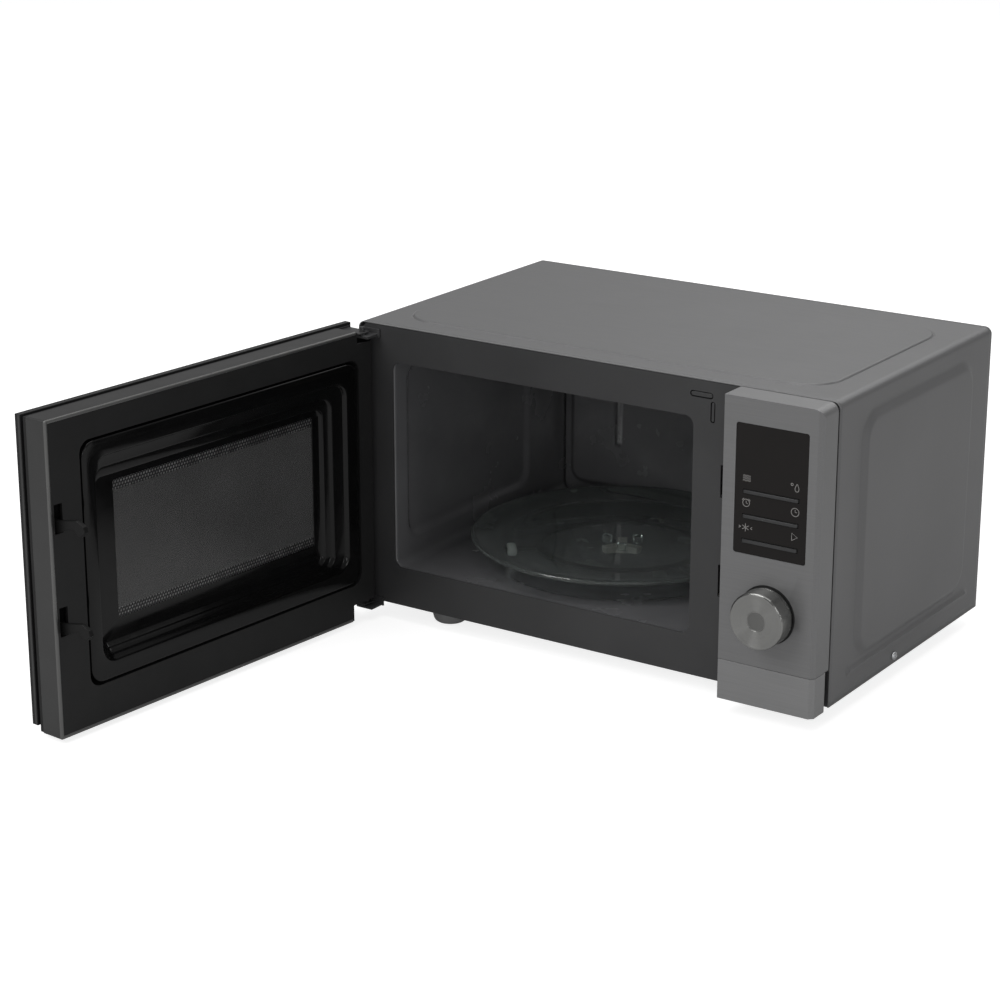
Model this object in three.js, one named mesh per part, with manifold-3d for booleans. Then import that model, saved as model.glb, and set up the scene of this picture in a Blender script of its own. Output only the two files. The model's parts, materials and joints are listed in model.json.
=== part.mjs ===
// Countertop microwave oven with its door standing open.
// Millimetres, +X right, +Y back, +Z up. The origin is the middle of the base plate's underside.
import * as THREE from 'three';
import { mergeVertices } from 'three/addons/utils/BufferGeometryUtils.js';
import Module from 'manifold-3d';

const wasm = await Module();
wasm.setup();

// ---------- driving dimensions ----------
// Case
const caseWidth = 440;
const caseDepth = 268;
const caseHeight = 241;
const caseCorner = 6;
const sheet = 1;
const flangeHeight = 14;
const touch = 0.3;
const padHalf = 60;
const padDrop = 0.4;

// Feet
const footHeight = 14;
const footRadius = 15;
const footInsetX = 72;
const footInsetY = 26;

// Front frame and cooking cavity
const frameThickness = 1.2;
const frameBottom = 0.3;
const openingLeftMargin = 33.8;
const openingRightMargin = 41.6;
const openingSill = 33.9;
const openingHead = 30.5;
const openingCorner = 4.5;
const cavityLip = 1.4;
const cavityRearGap = 4;

// Control panel
const panelWidth = 81.6;
const panelProud = 27;
const panelGap = 2.5;
const panelWall = 2.2;
const panelEdge = 3.4;
const panelCorner = 7;
const panelDrop = 0.9;
const buttonTop = 31.3;
const buttonGap = 0.4;
const buttonTravel = 4;
const displayWidth = 60.8;
const displayHeight = 101.6;
const displayFromTop = 19.5;
const displayThickness = 2.5;
const keyLength = 46;
const keyHeight = 2.6;
const keyPitch = 19.3;
const lowestKey = 10.3;
const keyProud = 1.2;
const knobRadius = 22.5;
const knobProud = 18;
const knobHeight = 75;
const encoderShaft = 3;

// Turntable
const trayClearance = 3.75;
const trayThickness = 3.6;
const trayRimHeight = 8.6;
const rollerRadius = 6.3;
const rollerWidth = 7;
const rollerAxle = 2;
const rollerInset = 33;
const rollerAngles = [-138, -18, 102];

// Door
const doorAngle = 95.3;
const hingeX = 9.7;
const hingeY = 8.5;
const hingeEdge = 6.5;
const doorThickness = 31.5;
const doorGap = 1.5;
const doorTopDrop = 2.8;
const doorBottom = -4.5;
const innerDrop = 4.5;
const frontPanelDepth = 5.8;
const steelThickness = 1.2;
const doorWall = 2.5;
const coverOverlapLeft = 11;
const coverOverlapRight = 8;
const coverOverlapTop = 4.5;
const coverOverlapBottom = 12;
const coverCorner = 10;
const windowInsetLeft = 46.2;
const windowInsetRight = 39.2;
const windowInsetTop = 40.5;
const windowInsetBottom = 43;
const windowRecess = 11;
const hookWidth = 4;
const hookHeight = 9.5;
const hookReach = 30;
const hookRise = 4.5;
const hookDrop = 4.6;
const hookBottoms = [151.5, 71.5];
const hookFromPanel = 10.4;
const slotWidth = 13;
const slotHeight = 26;
const slotMargin = 1.5;
const pinRadius = 2;

// ---------- places worked out from them ----------
const front = -caseDepth / 2;
const back = caseDepth / 2;
const left = -caseWidth / 2;
const right = caseWidth / 2;
const panelLeft = right - panelWidth;
const panelFront = front - panelProud;
const panelBack = front - panelGap;
const panelMiddle = panelLeft + panelWidth / 2;
const openLeft = left + openingLeftMargin;
const openRight = panelLeft - openingRightMargin;
const openBottom = openingSill;
const openTop = caseHeight - openingHead;
const cavityFront = front + frameThickness + touch;
const cavityBack = back - cavityRearGap;
const cavityFloor = openBottom - cavityLip;
const cavityRoof = openTop + cavityLip;
const bayLeft = openRight + sheet + touch;
const bayRight = right - sheet - touch;
const turnX = (openLeft + openRight) / 2;
const turnY = (front + cavityBack) / 2;
const trayRadius = Math.min(cavityBack - front, openRight - openLeft) / 2 - trayClearance;
const rollerZ = cavityFloor + touch + rollerRadius;
const trayUnderside = rollerZ + rollerRadius + touch;
const trackRadius = trayRadius - rollerInset;
const axisX = left + hingeX;
const axisY = front - hingeY;
const doorInner = hingeY - doorGap;
const doorOuter = doorInner - doorThickness;
const doorLength = panelLeft - doorGap - axisX;
const doorTop = caseHeight - doorTopDrop;
const lowestKeyZ = caseHeight - displayFromTop - displayHeight + lowestKey;
const keyMiddles = [2, 1, 0].map((row) => lowestKeyZ + row * keyPitch);

// ---------- helpers ----------
const radians = THREE.MathUtils.degToRad;

function solid(geometry) {
  const bare = geometry.clone();
  bare.deleteAttribute('normal');
  bare.deleteAttribute('uv');
  const merged = mergeVertices(bare, 1e-4);
  const corners = [];
  const index = merged.index.array;
  for (let i = 0; i < index.length; i += 3) {
    const [a, b, c] = [index[i], index[i + 1], index[i + 2]];
    if (a !== b && b !== c && c !== a) corners.push(a, b, c);
  }
  return new wasm.Manifold(new wasm.Mesh({
    numProp: 3,
    vertProperties: merged.attributes.position.array,
    triVerts: Uint32Array.from(corners),
  }));
}

function toGeometry(body) {
  const mesh = body.getMesh();
  const geometry = new THREE.BufferGeometry();
  geometry.setAttribute('position', new THREE.BufferAttribute(Float32Array.from(mesh.vertProperties), 3));
  geometry.setIndex(Array.from(mesh.triVerts));
  geometry.computeVertexNormals();
  return geometry;
}

const join = (...bodies) => bodies.reduce((sum, body) => sum.add(body));
const cut = (body, ...tools) => tools.reduce((rest, tool) => rest.subtract(tool), body);

// Box between two corners
function box(x0, x1, y0, y1, z0, z1) {
  const geometry = new THREE.BoxGeometry(x1 - x0, y1 - y0, z1 - z0);
  geometry.translate((x0 + x1) / 2, (y0 + y1) / 2, (z0 + z1) / 2);
  return solid(geometry);
}

// Round bar along one axis; a and b are the other two coordinates in X, Y, Z order
function bar(axis, radius, from, to, a, b, sides = 24) {
  const geometry = new THREE.CylinderGeometry(radius, radius, to - from, sides);
  const middle = (from + to) / 2;
  if (axis === 'x') geometry.rotateZ(-Math.PI / 2).translate(middle, a, b);
  if (axis === 'y') geometry.translate(a, middle, b);
  if (axis === 'z') geometry.rotateX(Math.PI / 2).translate(a, b, middle);
  return solid(geometry);
}

// Rectangle with round corners, as an outline
function roundedRect(a0, a1, b0, b1, r) {
  const shape = new THREE.Shape();
  shape.absarc(a1 - r, b0 + r, r, -Math.PI / 2, 0);
  shape.absarc(a1 - r, b1 - r, r, 0, Math.PI / 2);
  shape.absarc(a0 + r, b1 - r, r, Math.PI / 2, Math.PI);
  shape.absarc(a0 + r, b0 + r, r, Math.PI, 1.5 * Math.PI);
  shape.closePath();
  return shape;
}

function extrude(shape, depth, curveSegments = 5) {
  return new THREE.ExtrudeGeometry(shape, { depth, curveSegments, bevelEnabled: false });
}

// Outline in X and Z, carried from y0 to y1
function slabAlongY(shape, y0, y1, curveSegments) {
  return solid(extrude(shape, y1 - y0, curveSegments).rotateX(Math.PI / 2).translate(0, y1, 0));
}

// Outline in Y and Z, carried from x0 to x1
function slabAlongX(shape, x0, x1, curveSegments) {
  const turn = new THREE.Matrix4().makeBasis(
    new THREE.Vector3(0, 1, 0),
    new THREE.Vector3(0, 0, 1),
    new THREE.Vector3(1, 0, 0),
  );
  return solid(extrude(shape, x1 - x0, curveSegments).applyMatrix4(turn).translate(x0, 0, 0));
}

// Outline in X and Y, carried from z0 to z1
function slabAlongZ(shape, z0, z1, curveSegments) {
  return solid(extrude(shape, z1 - z0, curveSegments).translate(0, 0, z0));
}

function polygon(points) {
  return new THREE.Shape(points.map(([a, b]) => new THREE.Vector2(a, b)));
}

// Profile of [radius, height] points turned round the Z axis through (x, y)
function turned(points, x, y, segments = 32) {
  const profile = points.map(([r, h]) => new THREE.Vector2(r, h));
  return solid(new THREE.LatheGeometry(profile, segments).rotateX(Math.PI / 2).translate(x, y, 0));
}

// The same round an axis along -Y, so heights point to the front
function turnedForward(points, x, y, z, segments = 32) {
  const profile = points.map(([r, h]) => new THREE.Vector2(r, h));
  return solid(new THREE.LatheGeometry(profile, segments).rotateX(Math.PI).translate(x, y, z));
}

// Coil spring along Z as a tube on a helix
function coilSpring(x, y, z0, z1, radius, wire, turns) {
  const stepsPerTurn = 8;
  const steps = turns * stepsPerTurn;
  const points = Array.from({ length: steps + 1 }, (_, i) => {
    const angle = (2 * Math.PI * i) / stepsPerTurn;
    const height = z0 + wire + ((z1 - z0 - 2 * wire) * i) / steps;
    return new THREE.Vector3(x + radius * Math.cos(angle), y + radius * Math.sin(angle), height);
  });
  const section = new THREE.Shape().absarc(0, 0, wire, 0, 2 * Math.PI);
  const path = new THREE.CatmullRomCurve3(points);
  const settings = { steps, curveSegments: 3, bevelEnabled: false, extrudePath: path };
  return new THREE.ExtrudeGeometry(section, settings);
}

const finish = (color, roughness, metalness) => ({ color, roughness, metalness });
const casingPaint = finish(0x5d5d5f, 0.42, 0.6);
const framePaint = finish(0x363637, 0.5, 0.3);
const cavityPaint = finish(0x3a3a3d, 0.35, 0.4);
const panelPlastic = finish(0x6a6a6b, 0.42, 0.5);
const darkPlastic = finish(0x242424, 0.45, 0);
const glossBlack = finish(0x080808, 0.12, 0);
const greyRubber = finish(0x7d7d7d, 0.7, 0);
const whitePlastic = finish(0xe6e6e2, 0.4, 0);
const zincSteel = finish(0xa9adb0, 0.35, 0.9);
const brushedMetal = finish(0x8d8d8a, 0.28, 1);
const copper = finish(0x9a4a24, 0.4, 0.9);
const boardGreen = finish(0x2e5a3a, 0.55, 0);
const mica = finish(0xb9ae98, 0.6, 0);
const trayGlass = finish(0x9fb5ae, 0.05, 0);
const smokedGlass = finish(0x1a1a1c, 0.06, 0);
const lampGlass = finish(0xf2ead2, 0.1, 0);

const oven = new THREE.Group();

function add(parent, name, shape, look) {
  const geometry = shape.isBufferGeometry ? shape : toGeometry(shape);
  const mesh = new THREE.Mesh(geometry, new THREE.MeshStandardMaterial(look));
  mesh.name = name;
  parent.add(mesh);
}

// ---------- case ----------
const screwY = front + 111;
const screwZ = 6.7;
const screwShank = 1.6;
const screwHole = 2;

function casing() {
  const inner = caseCorner - sheet;
  const shape = new THREE.Shape();
  shape.moveTo(left, 0);
  shape.lineTo(left + sheet, 0);
  shape.absarc(left + sheet + inner, caseHeight - sheet - inner, inner, Math.PI, Math.PI / 2, true);
  shape.absarc(right - sheet - inner, caseHeight - sheet - inner, inner, Math.PI / 2, 0, true);
  shape.lineTo(right - sheet, 0);
  shape.lineTo(right, 0);
  shape.absarc(right - caseCorner, caseHeight - caseCorner, caseCorner, 0, Math.PI / 2);
  shape.absarc(left + caseCorner, caseHeight - caseCorner, caseCorner, Math.PI / 2, Math.PI);
  shape.closePath();
  const screws = bar('x', screwHole, left - 1, right + 1, screwY, screwZ, 12);
  return cut(slabAlongY(shape, front, back), screws);
}

// Outline of a plate that closes an end of the casing, with its upper corners cut to clear the bends
function coverPlate(side, z0, z1) {
  const c = caseCorner;
  return polygon([
    [-side, z0], [side, z0], [side, z1 - c], [side - c, z1], [c - side, z1], [-side, z1 - c],
  ]);
}

function ventSlots(x0, columns, z0, rows, y0, y1) {
  const tools = [];
  for (let row = 0; row < rows; row += 1) {
    for (let column = 0; column < columns; column += 1) {
      const x = x0 + column * 14;
      const z = z0 + row * 9;
      tools.push(box(x, x + 10, y0, y1, z, z + 4));
    }
  }
  return tools;
}

const glandX = right - 34;
const glandZ = 34;
const glandHole = 8;

function basePlate() {
  const side = right - sheet - touch;
  const floorFront = front + frameThickness + touch;
  const floor = box(-side, side, floorFront, back - sheet - touch, padDrop, sheet);
  const pad = box(-padHalf, padHalf, -padHalf, padHalf, 0, sheet);
  const flanges = [-1, 1].map((hand) => {
    const outer = hand * side;
    const inner = hand * (side - sheet);
    const x0 = Math.min(outer, inner);
    return box(x0, x0 + sheet, front + 12, back - 6, padDrop, flangeHeight);
  });
  const screws = bar('x', screwHole, -side - 1, side + 1, screwY, screwZ, 12);
  const vents = Array.from({ length: 6 }, (_, i) => {
    const y = back - 110 + i * 12;
    return box(bayLeft + 60, bayRight - 12, y, y + 5, -1, sheet + 1);
  });
  return cut(join(floor, pad, ...flanges), screws, ...vents);
}

function rearPanel() {
  const side = right - sheet - touch;
  const outline = coverPlate(side, sheet + touch, caseHeight - sheet - touch);
  const plate = slabAlongY(outline, back - sheet, back);
  const vents = ventSlots(bayLeft + 22, 5, caseHeight - 132, 8, back - sheet - 1, back + 1);
  const exhaust = ventSlots(left + 60, 5, caseHeight - 26, 1, back - sheet - 1, back + 1);
  const gland = bar('y', glandHole, back - sheet - 1, back + 1, glandX, glandZ, 24);
  const screws = [-1, 1].map((hand) => (
    bar('y', screwHole, back - 3, back + 1, hand * (side - 10), 12, 12)
  ));
  return cut(plate, ...vents, ...exhaust, gland, ...screws);
}

const slotLeft = panelLeft - hookFromPanel - slotWidth / 2;
const frameSeam = panelLeft + 3;

// Front plate of the case, which is split into two behind the control panel
function frontPlate() {
  const side = right - sheet - touch;
  const top = caseHeight - sheet - touch;
  const y0 = front - 1;
  const y1 = front + frameThickness + 1;
  const plate = slabAlongY(coverPlate(side, frameBottom, top), front, front + frameThickness);
  const mouth = roundedRect(openLeft, openRight, openBottom, openTop, openingCorner);
  const opening = slabAlongY(mouth, y0, y1);
  const latchSlots = hookBottoms.map((z) => {
    const bottom = z - slotMargin;
    return box(slotLeft, slotLeft + slotWidth, y0, y1, bottom, bottom + slotHeight);
  });
  const boardWindow = box(panelLeft + 14, right - 14, y0, y1, 90, caseHeight - 20);
  const pusherHole = box(panelLeft + 5, panelLeft + 17, y0, y1, 12, 28);
  const gaugeOutline = roundedRect(panelLeft - 45, panelLeft - 25, top - 13.7, top - 8.7, 2.4);
  const slotOutline = roundedRect(panelLeft - 27, panelLeft - 23, top - 32, top - 15.5, 1.9);
  const gaugeHole = slabAlongY(gaugeOutline, y0, y1, 3);
  const gaugeSlot = slabAlongY(slotOutline, y0, y1, 3);
  return cut(plate, opening, ...latchSlots, boardWindow, pusherHole, gaugeHole, gaugeSlot);
}

function frontFrame() {
  return cut(frontPlate(), box(frameSeam, right, front - 1, front + 9, -1, caseHeight));
}

function bayPlate() {
  return cut(frontPlate(), box(left, frameSeam + touch, front - 1, front + 9, -1, caseHeight));
}

function foot(x, y) {
  const r = footRadius;
  const profile = [
    [0, -footHeight], [r - 5, -footHeight], [r - 2.2, -footHeight + 1.5], [r - 0.6, -footHeight + 4.5],
    [r, -footHeight + 8], [r, padDrop - touch], [0, padDrop - touch],
  ];
  return turned(profile, x, y, 24);
}

function caseScrew(hand) {
  const surface = hand * (right + touch);
  const head = hand * (right + touch + 2);
  const tip = hand * (right - 9);
  return join(
    bar('x', 3.6, Math.min(surface, head), Math.max(surface, head), screwY, screwZ, 16),
    bar('x', screwShank, Math.min(tip, head), Math.max(tip, head), screwY, screwZ, 12),
  );
}

function rearScrew(hand) {
  const x = hand * (right - sheet - touch - 10);
  return join(
    bar('y', 3.6, back + touch, back + touch + 2, x, 12, 16),
    bar('y', screwShank, back - 8, back + touch + 1, x, 12, 12),
  );
}

function cordGland() {
  const rim = glandHole + 3;
  const neck = glandHole - touch;
  const bore = 4;
  const outside = back + touch;
  const profile = [
    [bore, -7], [rim, -7], [rim, -4], [neck, -4], [neck, 7], [bore, 7], [bore, -7],
  ];
  return turnedForward(profile, glandX, outside - 4, glandZ, 24);
}

add(oven, 'base_plate', basePlate(), zincSteel);
add(oven, 'outer_casing', casing(), casingPaint);
add(oven, 'rear_panel', rearPanel(), framePaint);
add(oven, 'front_frame', frontFrame(), framePaint);
add(oven, 'bay_front_plate', bayPlate(), framePaint);
add(oven, 'cord_gland', cordGland(), darkPlastic);
[
  ['front_left', -1, front + footInsetY],
  ['front_right', 1, front + footInsetY],
  ['rear_left', -1, back - footInsetY],
  ['rear_right', 1, back - footInsetY],
].forEach(([place, hand, y]) => {
  add(oven, `foot_${place}`, foot(hand * (right - footInsetX), y), greyRubber);
});
add(oven, 'case_screw_left', caseScrew(-1), zincSteel);
add(oven, 'case_screw_right', caseScrew(1), zincSteel);
add(oven, 'rear_screw_left', rearScrew(-1), zincSteel);
add(oven, 'rear_screw_right', rearScrew(1), zincSteel);

// ---------- cavity ----------
const guideY0 = cavityBack - 119;
const guideY1 = cavityBack - 42;
const guideZ0 = cavityRoof - 97;
const guideZ1 = cavityRoof - 7;
const guideDepth = 34;
const antennaY = (guideY0 + guideY1) / 2;
const antennaZ = guideZ1 - 25;
const lampY = front + 60;
const lampZ = cavityRoof - 27;
const couplerHole = 7;

function cavityShell() {
  const outer = roundedRect(
    openLeft - sheet, openRight + sheet, cavityFloor - sheet, cavityRoof + sheet, openingCorner + sheet,
  );
  const inner = roundedRect(openLeft, openRight, cavityFloor, cavityRoof, openingCorner);
  const walls = slabAlongY(outer, cavityFront, cavityBack + sheet);
  const room = slabAlongY(inner, cavityFront - 1, cavityBack);
  const x0 = openRight - 3;
  const x1 = openRight + sheet + 1;
  const guideWindow = box(x0, x1, guideY0 + 9, guideY1 - 9, guideZ0 + 6, guideZ0 + 50);
  const lampHole = bar('x', 9, x0, x1, lampY, lampZ, 20);
  const airHoles = [0, 1, 2, 3].map((i) => (
    bar('x', 3, x0, x1, guideY1 + 8 + i * 8, cavityFloor + 30, 10)
  ));
  const shaftHole = bar('z', couplerHole, cavityFloor - 3, cavityFloor + 2, turnX, turnY, 24);
  return cut(walls, room, guideWindow, lampHole, ...airHoles, shaftHole);
}

function waveguide() {
  const x0 = bayLeft;
  const x1 = bayLeft + guideDepth;
  const duct = box(x0, x1, guideY0, guideY1, guideZ0, guideZ1);
  const room = box(
    x0 - 1, x1 - sheet, guideY0 + sheet, guideY1 - sheet, guideZ0 + sheet, guideZ1 - sheet,
  );
  return cut(duct, room, bar('x', 11, x1 - 2, x1 + 1, antennaY, antennaZ, 24));
}

function magnetron() {
  const x0 = bayLeft + guideDepth + touch;
  const yokeLength = 48;
  const x1 = x0 + yokeLength;
  const y0 = antennaY - 42;
  const y1 = antennaY + 42;
  const z0 = antennaZ - 30;
  const z1 = antennaZ + 30;
  const yoke = cut(box(x0, x1, y0, y1, z0, z1), box(x0 + 2, x1 - 2, y0 - 1, y1 + 1, z0 + 2, z1 - 2));
  const anode = bar('x', 19, x0 + 1, x1 - 1, antennaY, antennaZ, 24);
  const fins = [0, 1, 2, 3, 4, 5].map((i) => {
    const x = x0 + 8 + i * 6.2;
    return box(x, x + 1.2, y0 + 4, y1 - 4, z0 + 1, z1 - 1);
  });
  const antenna = bar('x', 8, x0 - 22, x0 + 1, antennaY, antennaZ, 20);
  const filterBox = box(x1 - 1, x1 + 16, antennaY - 30, antennaY + 30, antennaZ - 24, antennaZ + 24);
  const terminals = [-8, 8].map((dz) => box(
    x1 + 5, x1 + 8, antennaY - 38, antennaY - 29, antennaZ + dz - 3, antennaZ + dz + 3,
  ));
  return join(yoke, anode, ...fins, antenna, filterBox, ...terminals);
}

function waveguideCover() {
  const x1 = openRight - touch;
  return box(x1 - 1, x1, guideY0 + 3, guideY1 - 3, guideZ0 + 1, guideZ0 + 55);
}

function cavityLamp() {
  const x = bayLeft;
  return join(
    bar('x', 7, x, x + 24, lampY, lampZ, 20),
    bar('x', 10, x + 22, x + 40, lampY, lampZ, 20),
    box(x + 36, x + 46, lampY - 8, lampY + 8, lampZ - 5, lampZ + 5),
  );
}

function thermalCutout(y, z) {
  const x = bayLeft;
  return join(
    box(x, x + 1.2, y - 13, y + 13, z - 5, z + 5),
    bar('x', 8, x + 1, x + 9, y, z, 20),
    box(x + 8, x + 16, y - 6, y - 5, z - 3, z + 3),
    box(x + 8, x + 16, y + 5, y + 6, z - 3, z + 3),
  );
}

add(oven, 'cavity_shell', cavityShell(), cavityPaint);
add(oven, 'waveguide', waveguide(), zincSteel);
add(oven, 'waveguide_cover', waveguideCover(), mica);
add(oven, 'magnetron', magnetron(), zincSteel);
add(oven, 'cavity_lamp', cavityLamp(), lampGlass);
add(oven, 'cavity_thermal_cutout', thermalCutout(front + 95, cavityRoof - 30), darkPlastic);

// ---------- electrical bay ----------
function transformer() {
  const x0 = bayLeft + 10;
  const x1 = x0 + 84;
  const y0 = front + 66;
  const y1 = y0 + 55;
  const z0 = sheet + touch;
  const winding = (z, height, bulge) => slabAlongZ(
    roundedRect(x0 + 16, x1 - 16, y0 - bulge, y1 + bulge, 8), z, z + height, 3,
  );
  return join(
    box(x0, x1, y0 - 6, y1 + 6, z0, z0 + 2.5),
    box(x0 + 2, x1 - 2, y0, y1, z0, z0 + 70),
    winding(z0 + 10, 20, 14),
    winding(z0 + 38, 22, 16),
    box(x0 + 30, x0 + 36, y0 - 22, y0 - 10, z0 + 18, z0 + 20),
    box(x0 + 48, x0 + 54, y0 - 22, y0 - 10, z0 + 18, z0 + 20),
  );
}

function capacitor() {
  const x0 = bayLeft + 8;
  const y0 = front + 142;
  const z0 = sheet + touch;
  const can = slabAlongZ(roundedRect(x0, x0 + 34, y0, y0 + 54, 16), z0, z0 + 76, 6);
  const terminals = [14, 40].map((dy) => box(x0 + 14, x0 + 20, y0 + dy - 1, y0 + dy, z0 + 70, z0 + 86));
  return join(can, ...terminals);
}

function diode() {
  const x = bayLeft + 52;
  const y = front + 150;
  return join(
    bar('y', 4, y, y + 20, x, 16, 14),
    box(x - 1, x + 1, y + 18, y + 34, 15, 17),
    box(x - 5, x + 5, y + 32, y + 34, sheet + touch, 21),
  );
}

const fanX = (bayLeft + bayRight) / 2;
const fanZ = caseHeight - 96;
const ductHalf = Math.min(54, (bayRight - bayLeft) / 2 - 2);
const fanRadius = ductHalf - 8;
const ductFront = back - 42;
const ductBack = back - 6;

function fanShroud() {
  const y0 = ductFront;
  const y1 = ductBack;
  const wall = 2;
  const shell = box(fanX - ductHalf, fanX + ductHalf, y0, y1, fanZ - ductHalf, fanZ + ductHalf);
  const inside = ductHalf - wall;
  const room = box(fanX - inside, fanX + inside, y0 + wall, y1 + 1, fanZ - inside, fanZ + inside);
  return cut(shell, room, bar('y', fanRadius + 3, y0 - 1, y0 + wall + 1, fanX, fanZ, 40));
}

function fanMotor() {
  const y1 = ductBack - 2;
  const span = ductHalf - 2 - touch;
  return join(
    box(fanX - 23, fanX + 23, y1 - 13, y1, fanZ - 22, fanZ + 22),
    box(fanX - span, fanX + span, y1 - 7, y1 - 5, fanZ - 5, fanZ + 5),
    bar('y', 2, y1 - 26, y1 - 12, fanX, fanZ, 14),
  );
}

function fanBlade() {
  const y0 = ductFront + 4;
  const y1 = y0 + 12;
  const hub = cut(bar('y', 11, y0, y1, fanX, fanZ, 24), bar('y', 2.4, y0 + 2, y1 + 1, fanX, fanZ, 14));
  const blades = [0, 1, 2, 3, 4].map((i) => {
    const blade = new THREE.BoxGeometry(fanRadius - 9, 1.4, 24);
    blade.translate(9 + (fanRadius - 9) / 2, 0, 0).rotateX(radians(24));
    blade.rotateY(radians(i * 72)).translate(fanX, (y0 + y1) / 2, fanZ);
    return solid(blade);
  });
  return cut(join(hub, ...blades), bar('y', 2.4, y0 + 2, y1 + 1, fanX, fanZ, 14));
}

function noiseFilter() {
  const y0 = front + 120;
  const z0 = caseHeight - 30;
  return join(
    box(bayLeft + 14, bayLeft + 104, y0, y0 + 45, z0, z0 + 1.6),
    box(bayLeft + 22, bayLeft + 40, y0 + 8, y0 + 34, z0 + 1, z0 + 16),
    bar('z', 11, z0 + 1, z0 + 12, bayLeft + 60, y0 + 22, 20),
    bar('y', 3, y0 + 6, y0 + 28, bayLeft + 84, z0 + 4, 12),
    box(bayLeft + 92, bayLeft + 100, y0 + 6, y0 + 36, z0 + 1, z0 + 10),
  );
}

add(oven, 'high_voltage_transformer', transformer(), copper);
add(oven, 'high_voltage_capacitor', capacitor(), zincSteel);
add(oven, 'high_voltage_diode', diode(), darkPlastic);
add(oven, 'cooling_fan_shroud', fanShroud(), whitePlastic);
add(oven, 'cooling_fan_motor', fanMotor(), zincSteel);
add(oven, 'cooling_fan_blade', fanBlade(), whitePlastic);
add(oven, 'noise_filter', noiseFilter(), boardGreen);

// ---------- turntable ----------
function turntableMotor() {
  const top = cavityFloor - sheet - touch;
  const body = bar('z', 24.5, top - 16, top, turnX, turnY, 32);
  const ears = box(turnX - 32, turnX + 32, turnY - 6, turnY + 6, top - 2, top);
  const plug = box(turnX + 20, turnX + 34, turnY + 8, turnY + 20, top - 14, top - 4);
  return cut(join(body, ears, plug), bar('z', 4.6, top - 12, top + 1, turnX, turnY, 20));
}

function coupler() {
  const z0 = cavityFloor + touch;
  const stem = bar('z', 4, cavityFloor - sheet - touch - 11, z0 + 2, turnX, turnY, 18);
  const hub = bar('z', 9, z0, z0 + 5, turnX, turnY, 24);
  const lobes = [0, 120, 240].map((degrees) => {
    const lobe = new THREE.BoxGeometry(14, 8, 8);
    lobe.translate(10, 0, z0 + 4).rotateZ(radians(degrees)).translate(turnX, turnY, 0);
    return solid(lobe);
  });
  return join(stem, hub, ...lobes);
}

function glassTray() {
  const z = trayUnderside;
  const r = trayRadius;
  const t = trayThickness;
  const disc = turned([
    [0, z], [r - 20, z], [r - 12, z + 1.5], [r - 4, z + trayRimHeight - t], [r, z + trayRimHeight - 2],
    [r, z + trayRimHeight - 0.6], [r - 1, z + trayRimHeight], [r - 4.5, z + trayRimHeight - 1],
    [r - 13, z + t + 1.2], [r - 21, z + t], [0, z + t],
  ], turnX, turnY, 48);
  const lugs = [60, 180, 300].map((degrees) => {
    const lug = new THREE.BoxGeometry(7, 7, 8);
    lug.translate(15, 0, z - 2).rotateZ(radians(degrees)).translate(turnX, turnY, 0);
    return solid(lug);
  });
  return join(disc, ...lugs);
}

const wheelInner = trackRadius - rollerWidth / 2;
const wheelOuter = trackRadius + rollerWidth / 2;

function rollerRing() {
  const ringOuter = wheelInner - 16;
  const z0 = rollerZ - 1.5;
  const z1 = rollerZ + 1.5;
  const ring = turned([
    [ringOuter - 7, z0], [ringOuter, z0], [ringOuter, z1], [ringOuter - 7, z1], [ringOuter - 7, z0],
  ], turnX, turnY, 36);
  const arms = rollerAngles.flatMap((degrees) => {
    const place = (geometry) => solid(geometry.rotateZ(radians(degrees)).translate(turnX, turnY, 0));
    const arm = new THREE.BoxGeometry(wheelInner - 1 - ringOuter + 3, 7, 3.4);
    arm.translate((wheelInner - 1 + ringOuter - 3) / 2, 0, rollerZ);
    const axle = new THREE.CylinderGeometry(rollerAxle, rollerAxle, rollerWidth + 6, 14);
    axle.rotateZ(Math.PI / 2).translate(trackRadius, 0, rollerZ);
    const cap = new THREE.CylinderGeometry(3.4, 3.4, 2, 14).rotateZ(Math.PI / 2);
    cap.translate(wheelOuter + 1.5, 0, rollerZ);
    return [place(arm), place(axle), place(cap)];
  });
  return join(ring, ...arms);
}

function rollerWheel(degrees) {
  const bore = rollerAxle + touch;
  const half = rollerWidth / 2;
  const edge = 1.2;
  const r = rollerRadius;
  const profile = [
    [bore, -half], [r - edge, -half], [r, -half + edge], [r, half - edge], [r - edge, half],
    [bore, half], [bore, -half],
  ];
  const points = profile.map(([a, b]) => new THREE.Vector2(a, b));
  const wheel = new THREE.LatheGeometry(points, 18).rotateZ(-Math.PI / 2);
  wheel.translate(trackRadius, 0, rollerZ).rotateZ(radians(degrees)).translate(turnX, turnY, 0);
  return solid(wheel);
}

add(oven, 'turntable_motor', turntableMotor(), zincSteel);
add(oven, 'turntable_coupler', coupler(), whitePlastic);
add(oven, 'glass_tray', glassTray(), trayGlass);
add(oven, 'roller_ring', rollerRing(), darkPlastic);
rollerAngles.forEach((degrees, i) => {
  add(oven, `roller_wheel_${i + 1}`, rollerWheel(degrees), whitePlastic);
});

// ---------- control panel ----------
const displayTop = caseHeight - displayFromTop;
const displayBottom = displayTop - displayHeight;
const displayLeft = panelMiddle - displayWidth / 2;
const displayRight = panelMiddle + displayWidth / 2;
const panelBottom = buttonTop + buttonGap;
const boardY = panelFront + 15;

function panelOutline(inset, z0, z1, topCorner) {
  const x0 = panelLeft + inset;
  const x1 = right - inset;
  const r = Math.max(topCorner - inset, 1);
  const shape = new THREE.Shape();
  shape.moveTo(x0, z0 + inset);
  shape.lineTo(x1, z0 + inset);
  shape.absarc(x1 - r, z1 - inset - r, r, 0, Math.PI / 2);
  shape.lineTo(x0, z1 - inset);
  shape.closePath();
  return shape;
}

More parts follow.
